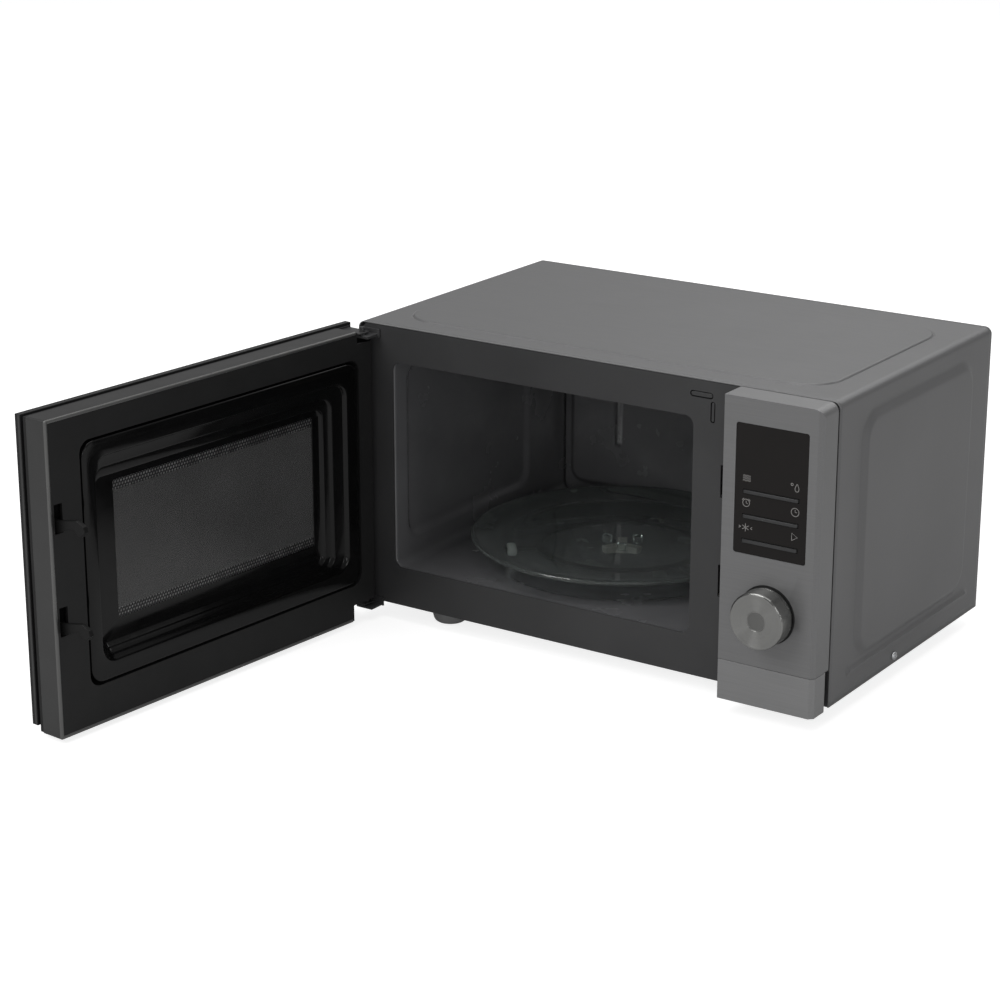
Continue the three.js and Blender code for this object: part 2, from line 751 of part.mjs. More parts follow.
// Long bevel down the right-hand front edge
function edgeBevel(z0, z1) {
  const wedge = polygon([
    [right - panelEdge, panelFront - 1], [right + 1, panelFront - 1], [right + 1, panelFront + panelEdge],
    [right, panelFront + panelEdge], [right - panelEdge, panelFront],
  ]);
  return slabAlongZ(wedge, z0 - 1, z1 + 1);
}

function controlPanel() {
  const top = caseHeight;
  const skin = slabAlongY(panelOutline(0, panelBottom, top, panelCorner), panelFront, panelBack);
  const room = slabAlongY(
    panelOutline(panelWall, panelBottom, top, panelCorner), panelFront + panelWall, panelBack + 1,
  );
  const windowOutline = roundedRect(displayLeft, displayRight, displayBottom, displayTop, 2);
  const windowHole = slabAlongY(windowOutline, panelFront - 1, panelFront + 4, 3);
  const dish = bar('y', knobRadius + 1, panelFront - 1, panelFront + 0.8, panelMiddle, knobHeight, 48);
  const shaftHole = bar('y', 5, panelFront - 1, panelFront + 4, panelMiddle, knobHeight, 24);
  const posts = [[panelLeft + 5, 40], [right - 5, 40], [panelLeft + 5, top - 12], [right - 9, top - 12]];
  const bosses = posts.map(([x, z]) => bar('y', 3, panelFront + 1, front - touch, x, z, 14));
  return join(cut(skin, room, windowHole, dish, shaftHole, edgeBevel(panelBottom, top)), ...bosses);
}

const windowFront = panelFront + 0.2;

function displayWindow() {
  const outline = roundedRect(
    displayLeft + touch, displayRight - touch, displayBottom + touch, displayTop - touch, 1.8,
  );
  const pane = slabAlongY(outline, windowFront, windowFront + displayThickness, 3);
  const slots = keyMiddles.map((z) => box(
    panelMiddle - keyLength / 2 - 0.5, panelMiddle + keyLength / 2 + 0.5,
    windowFront - 1, windowFront + displayThickness + 1, z - keyHeight / 2 - 0.4, z + keyHeight / 2 + 0.4,
  ));
  return cut(pane, ...slots);
}

const keyBack = windowFront + displayThickness + 1.5;

const plungerReach = 18;

function rockerKey(z) {
  const half = keyLength / 2;
  const face = windowFront - keyProud;
  const bow = new THREE.Shape();
  bow.moveTo(-half, face + 0.5);
  bow.lineTo(-half + 1.5, face);
  bow.lineTo(half - 1.5, face);
  bow.lineTo(half, face + 0.5);
  bow.lineTo(half, keyBack + 1);
  bow.lineTo(-half, keyBack + 1);
  bow.closePath();
  const blade = slabAlongZ(bow, z - keyHeight / 2, z + keyHeight / 2).translate(panelMiddle, 0, 0);
  const flange = box(
    panelMiddle - half - 1, panelMiddle + half + 1, keyBack, keyBack + 1.6, z - 4.5, z + 4.5,
  );
  const plungers = [-1, 1].map((hand) => (
    bar('y', 1.6, keyBack + 1, boardY - 3, panelMiddle + hand * plungerReach, z, 12)
  ));
  return join(blade, flange, ...plungers);
}

const rampEnd = front + 10;
const rampFoot = 17;
const rampHead = 26;
const rampSlope = 0.75;

const springX = panelMiddle + 12;
const springZ = 15;

function doorButton() {
  const top = buttonTop;
  const shape = polygon([[panelLeft, -panelDrop], [right, -panelDrop], [right, top], [panelLeft, top]]);
  const y1 = panelBack - buttonTravel - 1;
  const skin = slabAlongY(shape, panelFront, y1);
  const room = box(
    panelLeft + panelWall, right - panelWall, panelFront + panelWall, y1 + 1,
    panelWall - panelDrop, top - panelWall,
  );
  const pusher = slabAlongX(polygon([
    [panelFront + 1, 15], [rampEnd, 15], [rampEnd, rampFoot],
    [rampEnd - (rampHead - rampFoot) / rampSlope, rampHead], [panelFront + 1, rampHead],
  ]), panelLeft + 7, panelLeft + 15);
  const post = bar('y', 2.2, panelFront + 1, panelFront + 9, springX, springZ, 14);
  return join(cut(skin, room, edgeBevel(-panelDrop, top)), pusher, post);
}

function buttonSpring() {
  const springBack = front - touch;
  const coil = coilSpring(0, 0, 0, springBack - (panelFront + panelWall + touch), 3.4, 0.5, 5);
  return coil.rotateX(Math.PI / 2).translate(springX, springBack, springZ);
}

function knob() {
  const r = knobRadius;
  const h = knobProud;
  const foot0 = touch + 0.3;
  const bore = encoderShaft + touch;
  const profile = [
    [bore, foot0], [r - 1.2, foot0], [r - 0.4, foot0 + 1], [r, foot0 + 2], [r, h - 1.4],
    [r - 0.5, h - 0.4], [r - 1.5, h], [0, h], [0, h - 5], [bore, h - 5], [bore, foot0],
  ];
  return turnedForward(profile, panelMiddle, panelFront, knobHeight, 40);
}

function encoder() {
  const y1 = boardY - touch;
  return join(
    box(panelMiddle - 7, panelMiddle + 7, y1 - 8, y1, knobHeight - 7, knobHeight + 7),
    bar('y', 4.2, panelFront + 1.2, y1 - 7, panelMiddle, knobHeight, 18),
    bar('y', encoderShaft, panelFront - knobProud + 6, y1 - 7, panelMiddle, knobHeight, 18),
  );
}

function controlBoard() {
  const board = box(panelLeft + 11, right - 13, boardY, boardY + 1.6, 56, caseHeight - 12);
  const switches = keyMiddles.flatMap((z) => [-1, 1].map((hand) => {
    const x = panelMiddle + hand * plungerReach;
    return box(x - 3, x + 3, boardY - 2.4, boardY + 0.5, z - 3, z + 3);
  }));
  const relays = [100, 126, 152].map((z) => box(
    panelMiddle - 22, panelMiddle - 6, boardY + 1, boardY + 7, z, z + 18,
  ));
  const supply = box(panelMiddle + 2, panelMiddle + 24, boardY + 1, boardY + 8.5, 70, 96);
  return join(board, ...switches, ...relays, supply);
}

function displayModule() {
  const x0 = panelMiddle - 25;
  const y0 = windowFront + displayThickness + touch;
  return box(x0, x0 + 50, y0, boardY - touch, displayTop - 32, displayTop - 8);
}

add(oven, 'control_panel', controlPanel(), panelPlastic);
add(oven, 'display_window', displayWindow(), glossBlack);
['menu', 'timer', 'start'].forEach((use, i) => {
  add(oven, `rocker_key_${use}`, rockerKey(keyMiddles[i]), darkPlastic);
});
add(oven, 'door_button', doorButton(), panelPlastic);
add(oven, 'door_button_spring', buttonSpring(), zincSteel);
add(oven, 'control_knob', knob(), brushedMetal);
add(oven, 'rotary_encoder', encoder(), zincSteel);
add(oven, 'control_board', controlBoard(), boardGreen);
add(oven, 'display_module', displayModule(), darkPlastic);

// ---------- door latch inside the case ----------
const hookMiddle = panelLeft - hookFromPanel;
const bracketX = slotLeft + slotWidth + 2;
const stemFront = front + 4;
const stemTop = 70;

function interlockBracket() {
  const x0 = bracketX;
  const y0 = front + frameThickness + touch;
  const web = box(x0, x0 + 2.4, y0, y0 + 40, 40, hookBottoms[0] + 34);
  const shelf = (z) => box(slotLeft - 4, x0 + 1, y0, y0 + 21, z - 2.4, z);
  const shelves = [...hookBottoms, 55].map((z) => shelf(z - slotMargin - 1));
  const guide = box(hookMiddle - 2.6, hookMiddle + 2.6, y0 - 1, stemFront + 4.6, 40, stemTop + 5);
  return cut(join(web, ...shelves), guide);
}

function interlockSwitch(z) {
  const x0 = bracketX + 2.4 + touch;
  const y0 = front + 14;
  return join(
    box(x0, x0 + 10, y0, y0 + 27, z, z + 15),
    box(x0 + 3, x0 + 7, y0 + 26, y0 + 33, z + 3, z + 4),
    box(x0 + 3, x0 + 7, y0 + 26, y0 + 33, z + 10, z + 11),
    box(x0 + 3, x0 + 7, y0 - 2.5, y0 + 1, z + 6, z + 9),
  );
}

// Slider that rides up the ramp on the button's pusher, to lift the lower door hook
function releaseSlider() {
  const x0 = hookMiddle - 2;
  const y0 = front + frameThickness + 1.3;
  const rampTop = (y) => rampFoot + rampSlope * (rampEnd - y) + 0.4;
  const foot = slabAlongX(polygon([
    [y0, rampTop(y0)], [rampEnd - 0.5, rampTop(rampEnd - 0.5)], [rampEnd - 0.5, 34], [y0, 34],
  ]), x0, panelLeft + 15);
  const stem = box(x0, x0 + 4, stemFront, stemFront + 4, 30, stemTop);
  return join(foot, stem);
}

add(oven, 'interlock_bracket', interlockBracket(), whitePlastic);
['monitor', 'secondary', 'primary'].forEach((use, i) => {
  add(oven, `interlock_switch_${use}`, interlockSwitch([66, 108, 150][i]), darkPlastic);
});
add(oven, 'release_slider', releaseSlider(), whitePlastic);

// ---------- hinges ----------
const upperPlate = caseHeight - 10.5;
const lowerPlate = -3.5;

function hingeBracket(plateBottom, flangeBottom, flangeTop) {
  const plate = box(axisX - 5.7, axisX + 10.3, axisY - 6.5, front - touch, plateBottom, plateBottom + 2);
  const flange = box(
    axisX - 5.7, axisX + 12.3, front - touch - 1.3, front - touch, flangeBottom, flangeTop,
  );
  const pin = bar('z', pinRadius, plateBottom + 1, plateBottom + 8, axisX, axisY, 20);
  return join(plate, flange, pin);
}

add(oven, 'upper_hinge_bracket', hingeBracket(upperPlate, upperPlate - 1, upperPlate + 6), framePaint);
add(oven, 'lower_hinge_bracket', hingeBracket(lowerPlate, lowerPlate, lowerPlate + 7), framePaint);

// ---------- door, drawn shut and round its hinge axis ----------
const door = new THREE.Group();
door.position.set(axisX, axisY, 0);
door.rotation.z = -radians(doorAngle);
oven.add(door);

const coverLeft = openLeft - coverOverlapLeft - axisX;
const coverRight = openRight + coverOverlapRight - axisX;
const coverBottom = openBottom - coverOverlapBottom;
const coverTop = openTop + coverOverlapTop;
const windowLeft = coverLeft + windowInsetLeft;
const windowRight = coverRight - windowInsetRight;
const windowBottom = coverBottom + windowInsetBottom;
const windowTop = coverTop - windowInsetTop;
const windowPlane = doorInner - windowRecess;
const frontPanelBack = doorOuter + frontPanelDepth;
const steelFront = frontPanelBack + touch;
const steelBack = steelFront + steelThickness;
const frameFront = steelBack + touch;
const upperTab = upperPlate + 3;
const lowerTab = lowerPlate + 3;
const hookX = doorLength + doorGap - hookFromPanel;
const latchSpringY = steelBack + 6.2;
const railY = latchSpringY + 5;

// Clearance round each hinge bracket, right through the door at its corner
function hingeNotches() {
  return [
    box(-hingeEdge - 1, 14, frameFront - 1, doorInner + 1, upperPlate - 3, doorTop + 2),
    box(-hingeEdge - 1, 23, frameFront - 1, doorInner + 1, doorBottom - innerDrop - 1, lowerPlate + 8),
  ];
}

function doorFrame() {
  const x0 = -hingeEdge + 1;
  const x1 = doorLength - 1;
  const z0 = doorBottom - innerDrop;
  const z1 = doorTop - 1;
  const body = slabAlongZ(polygon([
    [x0, frameFront], [x1, frameFront], [x1, doorInner], [-2.5, doorInner], [x0, doorInner - 4],
  ]), z0, z1);
  const pocket = box(
    x0 + doorWall, x1 - doorWall, frameFront - 1, doorInner - doorWall, z0 + doorWall, z1 - doorWall,
  );
  const collar = slabAlongY(roundedRect(
    coverLeft - touch - doorWall, coverRight + touch + doorWall,
    coverBottom - touch - doorWall, coverTop + touch + doorWall, coverCorner + touch + doorWall,
  ), frameFront, doorInner - 1);
  const opening = slabAlongY(roundedRect(
    coverLeft - touch, coverRight + touch, coverBottom - touch, coverTop + touch, coverCorner + touch,
  ), frameFront - 2, doorInner + 1);
  const hookSlots = hookBottoms.map((z) => box(
    hookX - hookWidth, hookX + hookWidth, doorInner - doorWall - 1, doorInner + 1,
    z - 0.8, z + slotHeight - 4,
  ));
  return cut(join(cut(body, pocket), collar), opening, ...hookSlots, ...hingeNotches());
}

const glassDepth = 3.6;
const glassInset = { left: 24, right: 30, bottom: 34.5, top: 34 };

function glassOutline(inset) {
  return roundedRect(
    glassInset.left + inset, doorLength - glassInset.right - inset,
    doorBottom + glassInset.bottom + inset, doorTop - glassInset.top - inset, 4,
  );
}

function doorFrontPanel() {
  const slab = box(-hingeEdge, doorLength, doorOuter, frontPanelBack, doorBottom, doorTop);
  const seat = slabAlongY(glassOutline(0), doorOuter - 1, doorOuter + glassDepth);
  const sight = slabAlongY(glassOutline(4), doorOuter, frontPanelBack + 1);
  return cut(slab, seat, sight);
}

function doorFrontGlass() {
  return slabAlongY(glassOutline(touch), doorOuter + 0.1, doorOuter + glassDepth - touch);
}

function doorSteelPanel() {
  const x0 = coverLeft + 4;
  const x1 = coverRight - 4;
  const z0 = coverBottom + 4;
  const z1 = coverTop - 4;
  const t = steelThickness;
  const flange = box(
    -hingeEdge + 3.5, doorLength - 4, steelFront, steelBack, doorBottom + 4, doorTop - 2.2,
  );
  const pan = box(x0, x1, steelFront, windowPlane, z0, z1);
  const hollow = box(x0 + t, x1 - t, steelFront - 1, windowPlane - t, z0 + t, z1 - t);
  const tab = (z) => box(-4.5, 8, steelFront, 4.5, z, z + t);
  const pinHole = bar('z', pinRadius + 0.4, lowerTab - 2, upperTab + 3, 0, 0, 20);
  return cut(join(cut(join(flange, pan), hollow), tab(upperTab), tab(lowerTab)), pinHole);
}

function chokeCover() {
  const face = doorInner + 0.2;
  const wall = 1.6;
  const wellLeft = coverLeft + 15;
  const wellRight = coverRight - 15;
  const wellBottom = coverBottom + 17;
  const wellTop = coverTop - 17;
  const floorY = windowPlane + 1.3;
  const outline = roundedRect(coverLeft, coverRight, coverBottom, coverTop, coverCorner);
  const wellOutline = roundedRect(wellLeft, wellRight, wellBottom, wellTop, 14);
  const body = slabAlongY(outline, floorY, face);
  const well = slabAlongY(wellOutline, floorY + wall, face + 1);
  const rearPocket = cut(
    slabAlongY(roundedRect(
      coverLeft + wall, coverRight - wall, coverBottom + wall, coverTop - wall, coverCorner - wall,
    ), floorY - 1, face - wall),
    slabAlongY(roundedRect(
      wellLeft - wall, wellRight + wall, wellBottom - wall, wellTop + wall, 14 + wall,
    ), floorY - 2, face),
  );
  const window = roundedRect(windowLeft, windowRight, windowBottom, windowTop, 2);
  const sight = slabAlongY(window, floorY - 1, face, 2);
  return cut(body, well, rearPocket, sight);
}

function doorInnerSheet() {
  const lap = 3;
  return box(
    windowLeft - lap, windowRight + lap, windowPlane + 0.3, windowPlane + 1,
    windowBottom - lap, windowTop + lap,
  );
}

function latchHooks() {
  const x0 = hookX - hookWidth / 2;
  const x1 = hookX + hookWidth / 2;
  const rail = box(x0 - 1, x1 + 1, railY, railY + 4, hookBottoms[1] - 4, hookBottoms[0] + hookHeight + 4);
  const tip = doorInner + hookReach;
  const under = hookRise + 2.3;
  const over = hookHeight + hookRise;
  const hooks = hookBottoms.map((z) => slabAlongX(polygon([
    [railY + 2, z], [doorInner, z], [tip - 13, z + under], [tip - 7.5, z + under - hookDrop + 0.4],
    [tip - 4, z + under - hookDrop], [tip, z + under - 0.5], [tip - 1.5, z + over - 3.5],
    [tip - 9, z + over], [doorInner, z + hookHeight], [railY + 2, z + hookHeight],
  ]), x0, x1));
  return join(rail, ...hooks);
}

function latchSpring() {
  return coilSpring(hookX, latchSpringY, hookBottoms[1] + 30, hookBottoms[1] + 62, 2.4, 0.4, 6);
}

add(door, 'door_frame', doorFrame(), darkPlastic);
add(door, 'door_front_panel', doorFrontPanel(), panelPlastic);
add(door, 'door_front_glass', doorFrontGlass(), smokedGlass);
add(door, 'door_steel_panel', doorSteelPanel(), framePaint);
add(door, 'door_choke_cover', chokeCover(), glossBlack);
add(door, 'door_inner_sheet', doorInnerSheet(), smokedGlass);
add(door, 'door_latch_hooks', latchHooks(), glossBlack);
add(door, 'door_latch_spring', latchSpring(), zincSteel);

export default oven;
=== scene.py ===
"""Countertop microwave oven with its door standing open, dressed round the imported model."""
import json

import bmesh
import bpy
import numpy as np
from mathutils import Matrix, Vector


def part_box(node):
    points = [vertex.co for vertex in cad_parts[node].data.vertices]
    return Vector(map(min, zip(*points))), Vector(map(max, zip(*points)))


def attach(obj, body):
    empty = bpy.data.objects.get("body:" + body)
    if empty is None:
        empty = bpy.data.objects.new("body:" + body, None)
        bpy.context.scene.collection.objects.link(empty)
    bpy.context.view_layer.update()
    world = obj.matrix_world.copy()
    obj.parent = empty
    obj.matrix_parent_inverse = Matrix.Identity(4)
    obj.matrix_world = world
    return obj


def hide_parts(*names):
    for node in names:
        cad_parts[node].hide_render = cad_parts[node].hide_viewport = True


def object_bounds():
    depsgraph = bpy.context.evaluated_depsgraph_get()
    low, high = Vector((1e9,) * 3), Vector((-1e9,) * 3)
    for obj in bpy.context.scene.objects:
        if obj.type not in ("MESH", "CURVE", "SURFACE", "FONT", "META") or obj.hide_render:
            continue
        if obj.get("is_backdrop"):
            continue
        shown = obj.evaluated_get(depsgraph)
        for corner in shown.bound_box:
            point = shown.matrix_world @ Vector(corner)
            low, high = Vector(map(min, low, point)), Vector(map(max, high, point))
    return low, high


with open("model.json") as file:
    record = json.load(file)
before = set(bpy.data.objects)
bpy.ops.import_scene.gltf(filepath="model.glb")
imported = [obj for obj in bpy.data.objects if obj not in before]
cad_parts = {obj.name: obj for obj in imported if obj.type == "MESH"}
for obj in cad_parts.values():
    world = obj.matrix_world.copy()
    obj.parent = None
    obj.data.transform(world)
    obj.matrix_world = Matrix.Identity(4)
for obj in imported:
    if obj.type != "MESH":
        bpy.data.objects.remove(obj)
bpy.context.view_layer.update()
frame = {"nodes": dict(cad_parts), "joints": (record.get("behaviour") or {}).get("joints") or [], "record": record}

mm = 0.001
record = frame["record"]
body_of_node = {n: body for body, names in record["behaviour"]["bodies"].items() for n in names}
joints = {j["name"]: j for j in frame["joints"]}


# ---------- where things are, in millimetres ----------
def span(node):
    """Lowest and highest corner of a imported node, in millimetres."""
    low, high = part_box(node)
    return np.array(low) / mm, np.array(high) / mm


casing_low, casing_high = span("outer_casing")
left, front = casing_low[:2]
right, back, top = casing_high
cavity_low, cavity_high = span("cavity_shell")
sheet = 1.0
open_left, open_right = cavity_low[0] + sheet, cavity_high[0] - sheet
cavity_floor, cavity_roof = cavity_low[2] + sheet, cavity_high[2] - sheet
cavity_front, cavity_back = cavity_low[1], cavity_high[1] - sheet
panel_left = span("control_panel")[0][0]
panel_front = span("control_panel")[0][1]
pane_low, pane_high = span("display_window")
hinge_x, hinge_y = np.array(joints["door_hinge"]["pos_m"])[:2] / mm
open_angle = np.radians(95.3)
door_inner, door_outer = 7.0, -24.5
door_length, hinge_edge = 347.2, 6.5
door_bottom, door_top = span("door_front_panel")[0][2], span("door_front_panel")[1][2]
cover = (13.1, 315.1, 21.9, 215.0)
sight = (59.3, 275.9, 64.9, 174.5)
window_plane = -4.0
frame_bottom = span("door_frame")[0][2]


# ---------- surfaces ----------
def hung(points):
    """Door points, drawn shut with x from the hinge pin, turned open about the pin: a plane rotation by minus
    the opening angle, then a shift to the pin."""
    x, y, z = np.moveaxis(np.asarray(points, float), -1, 0)
    c, s = np.cos(open_angle), np.sin(open_angle)
    return np.stack([hinge_x + c * x + s * y, hinge_y - s * x + c * y, z], -1)


def smooth(x, start, end):
    """Smooth step from 0 at start to 1 at end: 3t squared minus 2t cubed."""
    t = np.clip((x - start) / (end - start), 0, 1)
    return t * t * (3 - 2 * t)


def inside_round(u, v, u0, u1, v0, v1, radius):
    """Distance in from a round-cornered rectangle's border, positive inside: the rounded-box distance with its
    sign turned."""
    a = np.abs(u - (u0 + u1) / 2) - (u1 - u0) / 2 + radius
    b = np.abs(v - (v0 + v1) / 2) - (v1 - v0) / 2 + radius
    return radius - np.hypot(np.maximum(a, 0), np.maximum(b, 0)) - np.minimum(np.maximum(a, b), 0)


def round_outline(x0, x1, z0, z1, radius, steps=8):
    """Closed outline of a round-cornered rectangle: quarter circles about the four corner centres, in turn."""
    quarter = np.linspace(0, np.pi / 2, steps + 1)
    centres = [(x1 - radius, z0 + radius), (x1 - radius, z1 - radius), (x0 + radius, z1 - radius),
               (x0 + radius, z0 + radius)]
    arcs = [
        np.stack([cx + radius * np.cos(quarter + turn), cz + radius * np.sin(quarter + turn)], -1)
        for (cx, cz), turn in zip(centres, np.arange(-1, 3) * np.pi / 2)
    ]
    return np.concatenate(arcs)


def lines(*stretches):
    """Grid lines for one parameter: each stretch is (start, end, spacing), cut into equal steps,
    ends shared."""
    parts = [np.linspace(a, b, max(int(round(abs(b - a) / gap)), 1) + 1) for a, b, gap in stretches]
    return np.concatenate([parts[0]] + [p[1:] for p in parts[1:]])


def dress(obj, body, finish, replaced=(), crease=35):
    """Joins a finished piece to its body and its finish."""
    obj.data.shade_smooth()
    obj.data.set_sharp_from_angle(angle=np.radians(crease))
    obj.data.materials.clear()
    obj.data.materials.append(finish)
    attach(obj, body)
    if replaced:
        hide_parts(*replaced)
    return obj


def mesh_object(name, vertices, faces):
    """A new object from arrays of vertices in millimetres and faces, with its normals set outwards."""
    mesh = bpy.data.meshes.new(name)
    mesh.from_pydata((np.asarray(vertices).reshape(-1, 3) * mm).tolist(), [], faces)
    work = bmesh.new()
    work.from_mesh(mesh)
    bmesh.ops.remove_doubles(work, verts=work.verts, dist=1e-6)
    bmesh.ops.recalc_face_normals(work, faces=work.faces)
    work.to_mesh(mesh)
    work.free()
    obj = bpy.data.objects.new(name, mesh)
    bpy.context.scene.collection.objects.link(obj)
    return obj


def grid_faces(rows, columns, close_rows=False, close_columns=False, first=0):
    """Four-sided faces of a grid of points numbered row by row, wrapped where it closes."""
    i, j = np.meshgrid(np.arange(rows - (not close_rows)), np.arange(columns - (not close_columns)),
                       indexing="ij")
    a, b = (i + 1) % rows, (j + 1) % columns
    quads = np.stack([i * columns + j, a * columns + j, a * columns + b, i * columns + b], -1)
    return (quads.reshape(-1, 4) + first).tolist()


def surface(name, points, close_rows=False, close_columns=False, capped=False):
    """A grid of points, shape (rows, columns, 3), as one skin; capped closes its first and last rows with flat
    ends."""
    rows, columns = points.shape[:2]
    faces = grid_faces(rows, columns, close_rows, close_columns)
    if capped:
        faces += [list(range(columns)), [(rows - 1) * columns + j for j in range(columns)]]
    return mesh_object(name, points, faces)


def lofted(name, rings, capped=True, wrapped=False, place=None):
    """Round-cornered outlines at given depths, joined ring to ring. Each ring is (x0, x1, z0, z1,
    radius, y)."""
    loops = [
        np.stack([o[:, 0], np.full(len(o), ring[5]), o[:, 1]], -1)
        for ring in rings
        for o in [round_outline(*ring[:5])]
    ]
    points = np.stack(loops)
    points = place(points) if place else points
    return surface(name, points, close_rows=wrapped, close_columns=True, capped=capped and not wrapped)


def turned(name, profile, centre, axis="z", sides=64):
    """A profile of (radius, height) carried round an axis: (r cos a, r sin a, h), with h along +Z, or along -Y
    for a piece that faces the front."""
    r, h = np.array(profile, float).T
    a = np.arange(sides) * 2 * np.pi / sides
    x, y = r[:, None] * np.cos(a), r[:, None] * np.sin(a)
    height = np.broadcast_to(h[:, None], x.shape)
    points = np.stack([x, y, height] if axis == "z" else [x, -height, y], -1) + np.array(centre)
    return surface(name, points, close_columns=True, capped=True)


def softened(node, finish, width=0.4, segments=2, angle=32, name=None, crease=35):
    """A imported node's shape with its sharp edges rounded over."""
    mesh = frame["nodes"][node].data.copy()
    work = bmesh.new()
    work.from_mesh(mesh)
    bmesh.ops.remove_doubles(work, verts=work.verts, dist=2e-5)
    bmesh.ops.dissolve_limit(work, angle_limit=np.radians(0.5), verts=work.verts, edges=work.edges)
    work.to_mesh(mesh)
    work.free()
    obj = bpy.data.objects.new(name or f"{node}_finished", mesh)
    bpy.context.scene.collection.objects.link(obj)
    bevel = obj.modifiers.new("rounded_edges", "BEVEL")
    bevel.width = width * mm
    bevel.segments = segments
    bevel.limit_method = "ANGLE"
    bevel.angle_limit = np.radians(angle)
    bevel.harden_normals = True
    return dress(obj, body_of_node[node], finish, (node,), crease)


def kept(node, finish):
    """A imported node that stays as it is, with its finish."""
    data = frame["nodes"][node].data
    data.materials.clear()
    data.materials.append(finish)


# ---------- finishes ----------
class Finish:
    """One shader with the nodes that vary it, all read from the object's own coordinates."""

    def __init__(self, name, color, roughness, metallic=0.0, **sockets):
        self.material = bpy.data.materials.new(name)
        self.material.use_nodes = True
        self.nodes = self.material.node_tree.nodes
        self.link = self.material.node_tree.links.new
        self.shader = self.nodes["Principled BSDF"]
        self.color = color
        self.set("Base Color", (*color, 1))
        self.set("Roughness", roughness)
        self.set("Metallic", metallic)
        for key, value in sockets.items():
            self.set(key.replace("_", " "), value)
        self.place = self.nodes.new("ShaderNodeTexCoord").outputs["Object"]
        self.height = None

    def set(self, socket, value):
        self.shader.inputs[socket].default_value = value

    def stretched(self, scale):
        """Object coordinates multiplied by a scale along each axis."""
        node = self.nodes.new("ShaderNodeMapping")
        node.inputs["Scale"].default_value = scale
        self.link(self.place, node.inputs["Vector"])
        return node.outputs["Vector"]

    def noise(self, scale, detail=3.0, stretch=(1, 1, 1)):
        """Cloudy noise at a number of waves per metre, longer along an axis with a small stretch."""
        node = self.nodes.new("ShaderNodeTexNoise")
        node.inputs["Scale"].default_value = scale
        node.inputs["Detail"].default_value = detail
        self.link(self.stretched(stretch), node.inputs["Vector"])
        return node.outputs["Fac"]

    def cells(self, scale, feature="F1"):
        """Voronoi cells at a number per metre: distance to the nearest point."""
        node = self.nodes.new("ShaderNodeTexVoronoi")
        node.feature = feature
        node.inputs["Scale"].default_value = scale
        self.link(self.place, node.inputs["Vector"])
        return node

    def ramp(self, fac, low, high):
        """Maps a factor to a number between low and high."""
        node = self.nodes.new("ShaderNodeMapRange")
        node.inputs["To Min"].default_value = low
        node.inputs["To Max"].default_value = high
        node.inputs["From Min"].default_value = 0.3
        node.inputs["From Max"].default_value = 0.7
        self.link(fac, node.inputs["Value"])
        return node.outputs["Result"]

    def tint(self, fac, dark, light):
        """Colour that drifts between two shares of the base colour."""
        node = self.nodes.new("ShaderNodeMix")
        node.data_type = "RGBA"
        node.inputs["A"].default_value = (*(c * dark for c in self.color), 1)
        node.inputs["B"].default_value = (*(c * light for c in self.color), 1)
        self.link(self.ramp(fac, 0, 1), node.inputs["Factor"])
        self.link(node.outputs["Result"], self.shader.inputs["Base Color"])
        return self

    def gloss(self, fac, low, high):
        """Roughness that drifts between two values."""
        self.link(self.ramp(fac, low, high), self.shader.inputs["Roughness"])
        return self

    def relief(self, fac, distance, strength=1.0):
        """Fine surface relief of a height in millimetres, added to any before it."""
        node = self.nodes.new("ShaderNodeBump")
        node.inputs["Distance"].default_value = distance * mm
        node.inputs["Strength"].default_value = strength
        self.link(fac, node.inputs["Height"])
        if self.height:
            self.link(self.height, node.inputs["Normal"])
        self.height = node.outputs["Normal"]
        self.link(self.height, self.shader.inputs["Normal"])
        return self


def brushed_paint(name, color, roughness, metallic, along):
    """Metallic lacquer over brushed sheet: long fine lines one way, soft clouds in colour and gloss."""
    f = Finish(name, color, roughness, metallic, Coat_Weight=0.25, Coat_Roughness=0.22)
    grain = f.noise(900, 2, along)
    f.tint(grain, 0.965, 1.035)
    f.gloss(f.noise(9, 4), roughness - 0.03, roughness + 0.04)
    return f.relief(grain, 0.003, 0.4).relief(f.noise(2200, 1), 0.004, 0.3).material


def enamel(name, color, roughness, **sockets):
    """Baked enamel: orange-peel relief and slow drifts in gloss and shade."""
    f = Finish(name, color, roughness, **sockets)
    f.tint(f.noise(14, 5), 0.9, 1.12)
    f.gloss(f.noise(30, 4), roughness - 0.04, roughness + 0.05)
    return f.relief(f.noise(420, 2), 0.02, 0.35).material


def moulded(name, color, roughness, grain=1400, depth=0.02, **sockets):
    """Moulded plastic: a fine spark-eroded grain, slightly uneven gloss."""
    f = Finish(name, color, roughness, **sockets)
    f.tint(f.noise(20, 4), 0.92, 1.1)
    f.gloss(f.noise(60, 4), roughness - 0.04, roughness + 0.05)
    return f.relief(f.noise(grain, 2), depth, 0.5).material


def plated(name, color, roughness):
    """Zinc-plated steel: faint crystal patches in shade and gloss, fine rolled lines."""
    f = Finish(name, color, roughness, 1.0)
    patches = f.cells(160).outputs["Color"]
    f.tint(patches, 0.82, 1.1)
    f.gloss(patches, roughness - 0.06, roughness + 0.1)
    return f.relief(f.noise(600, 2, (0.05, 1, 1)), 0.01, 0.4).material


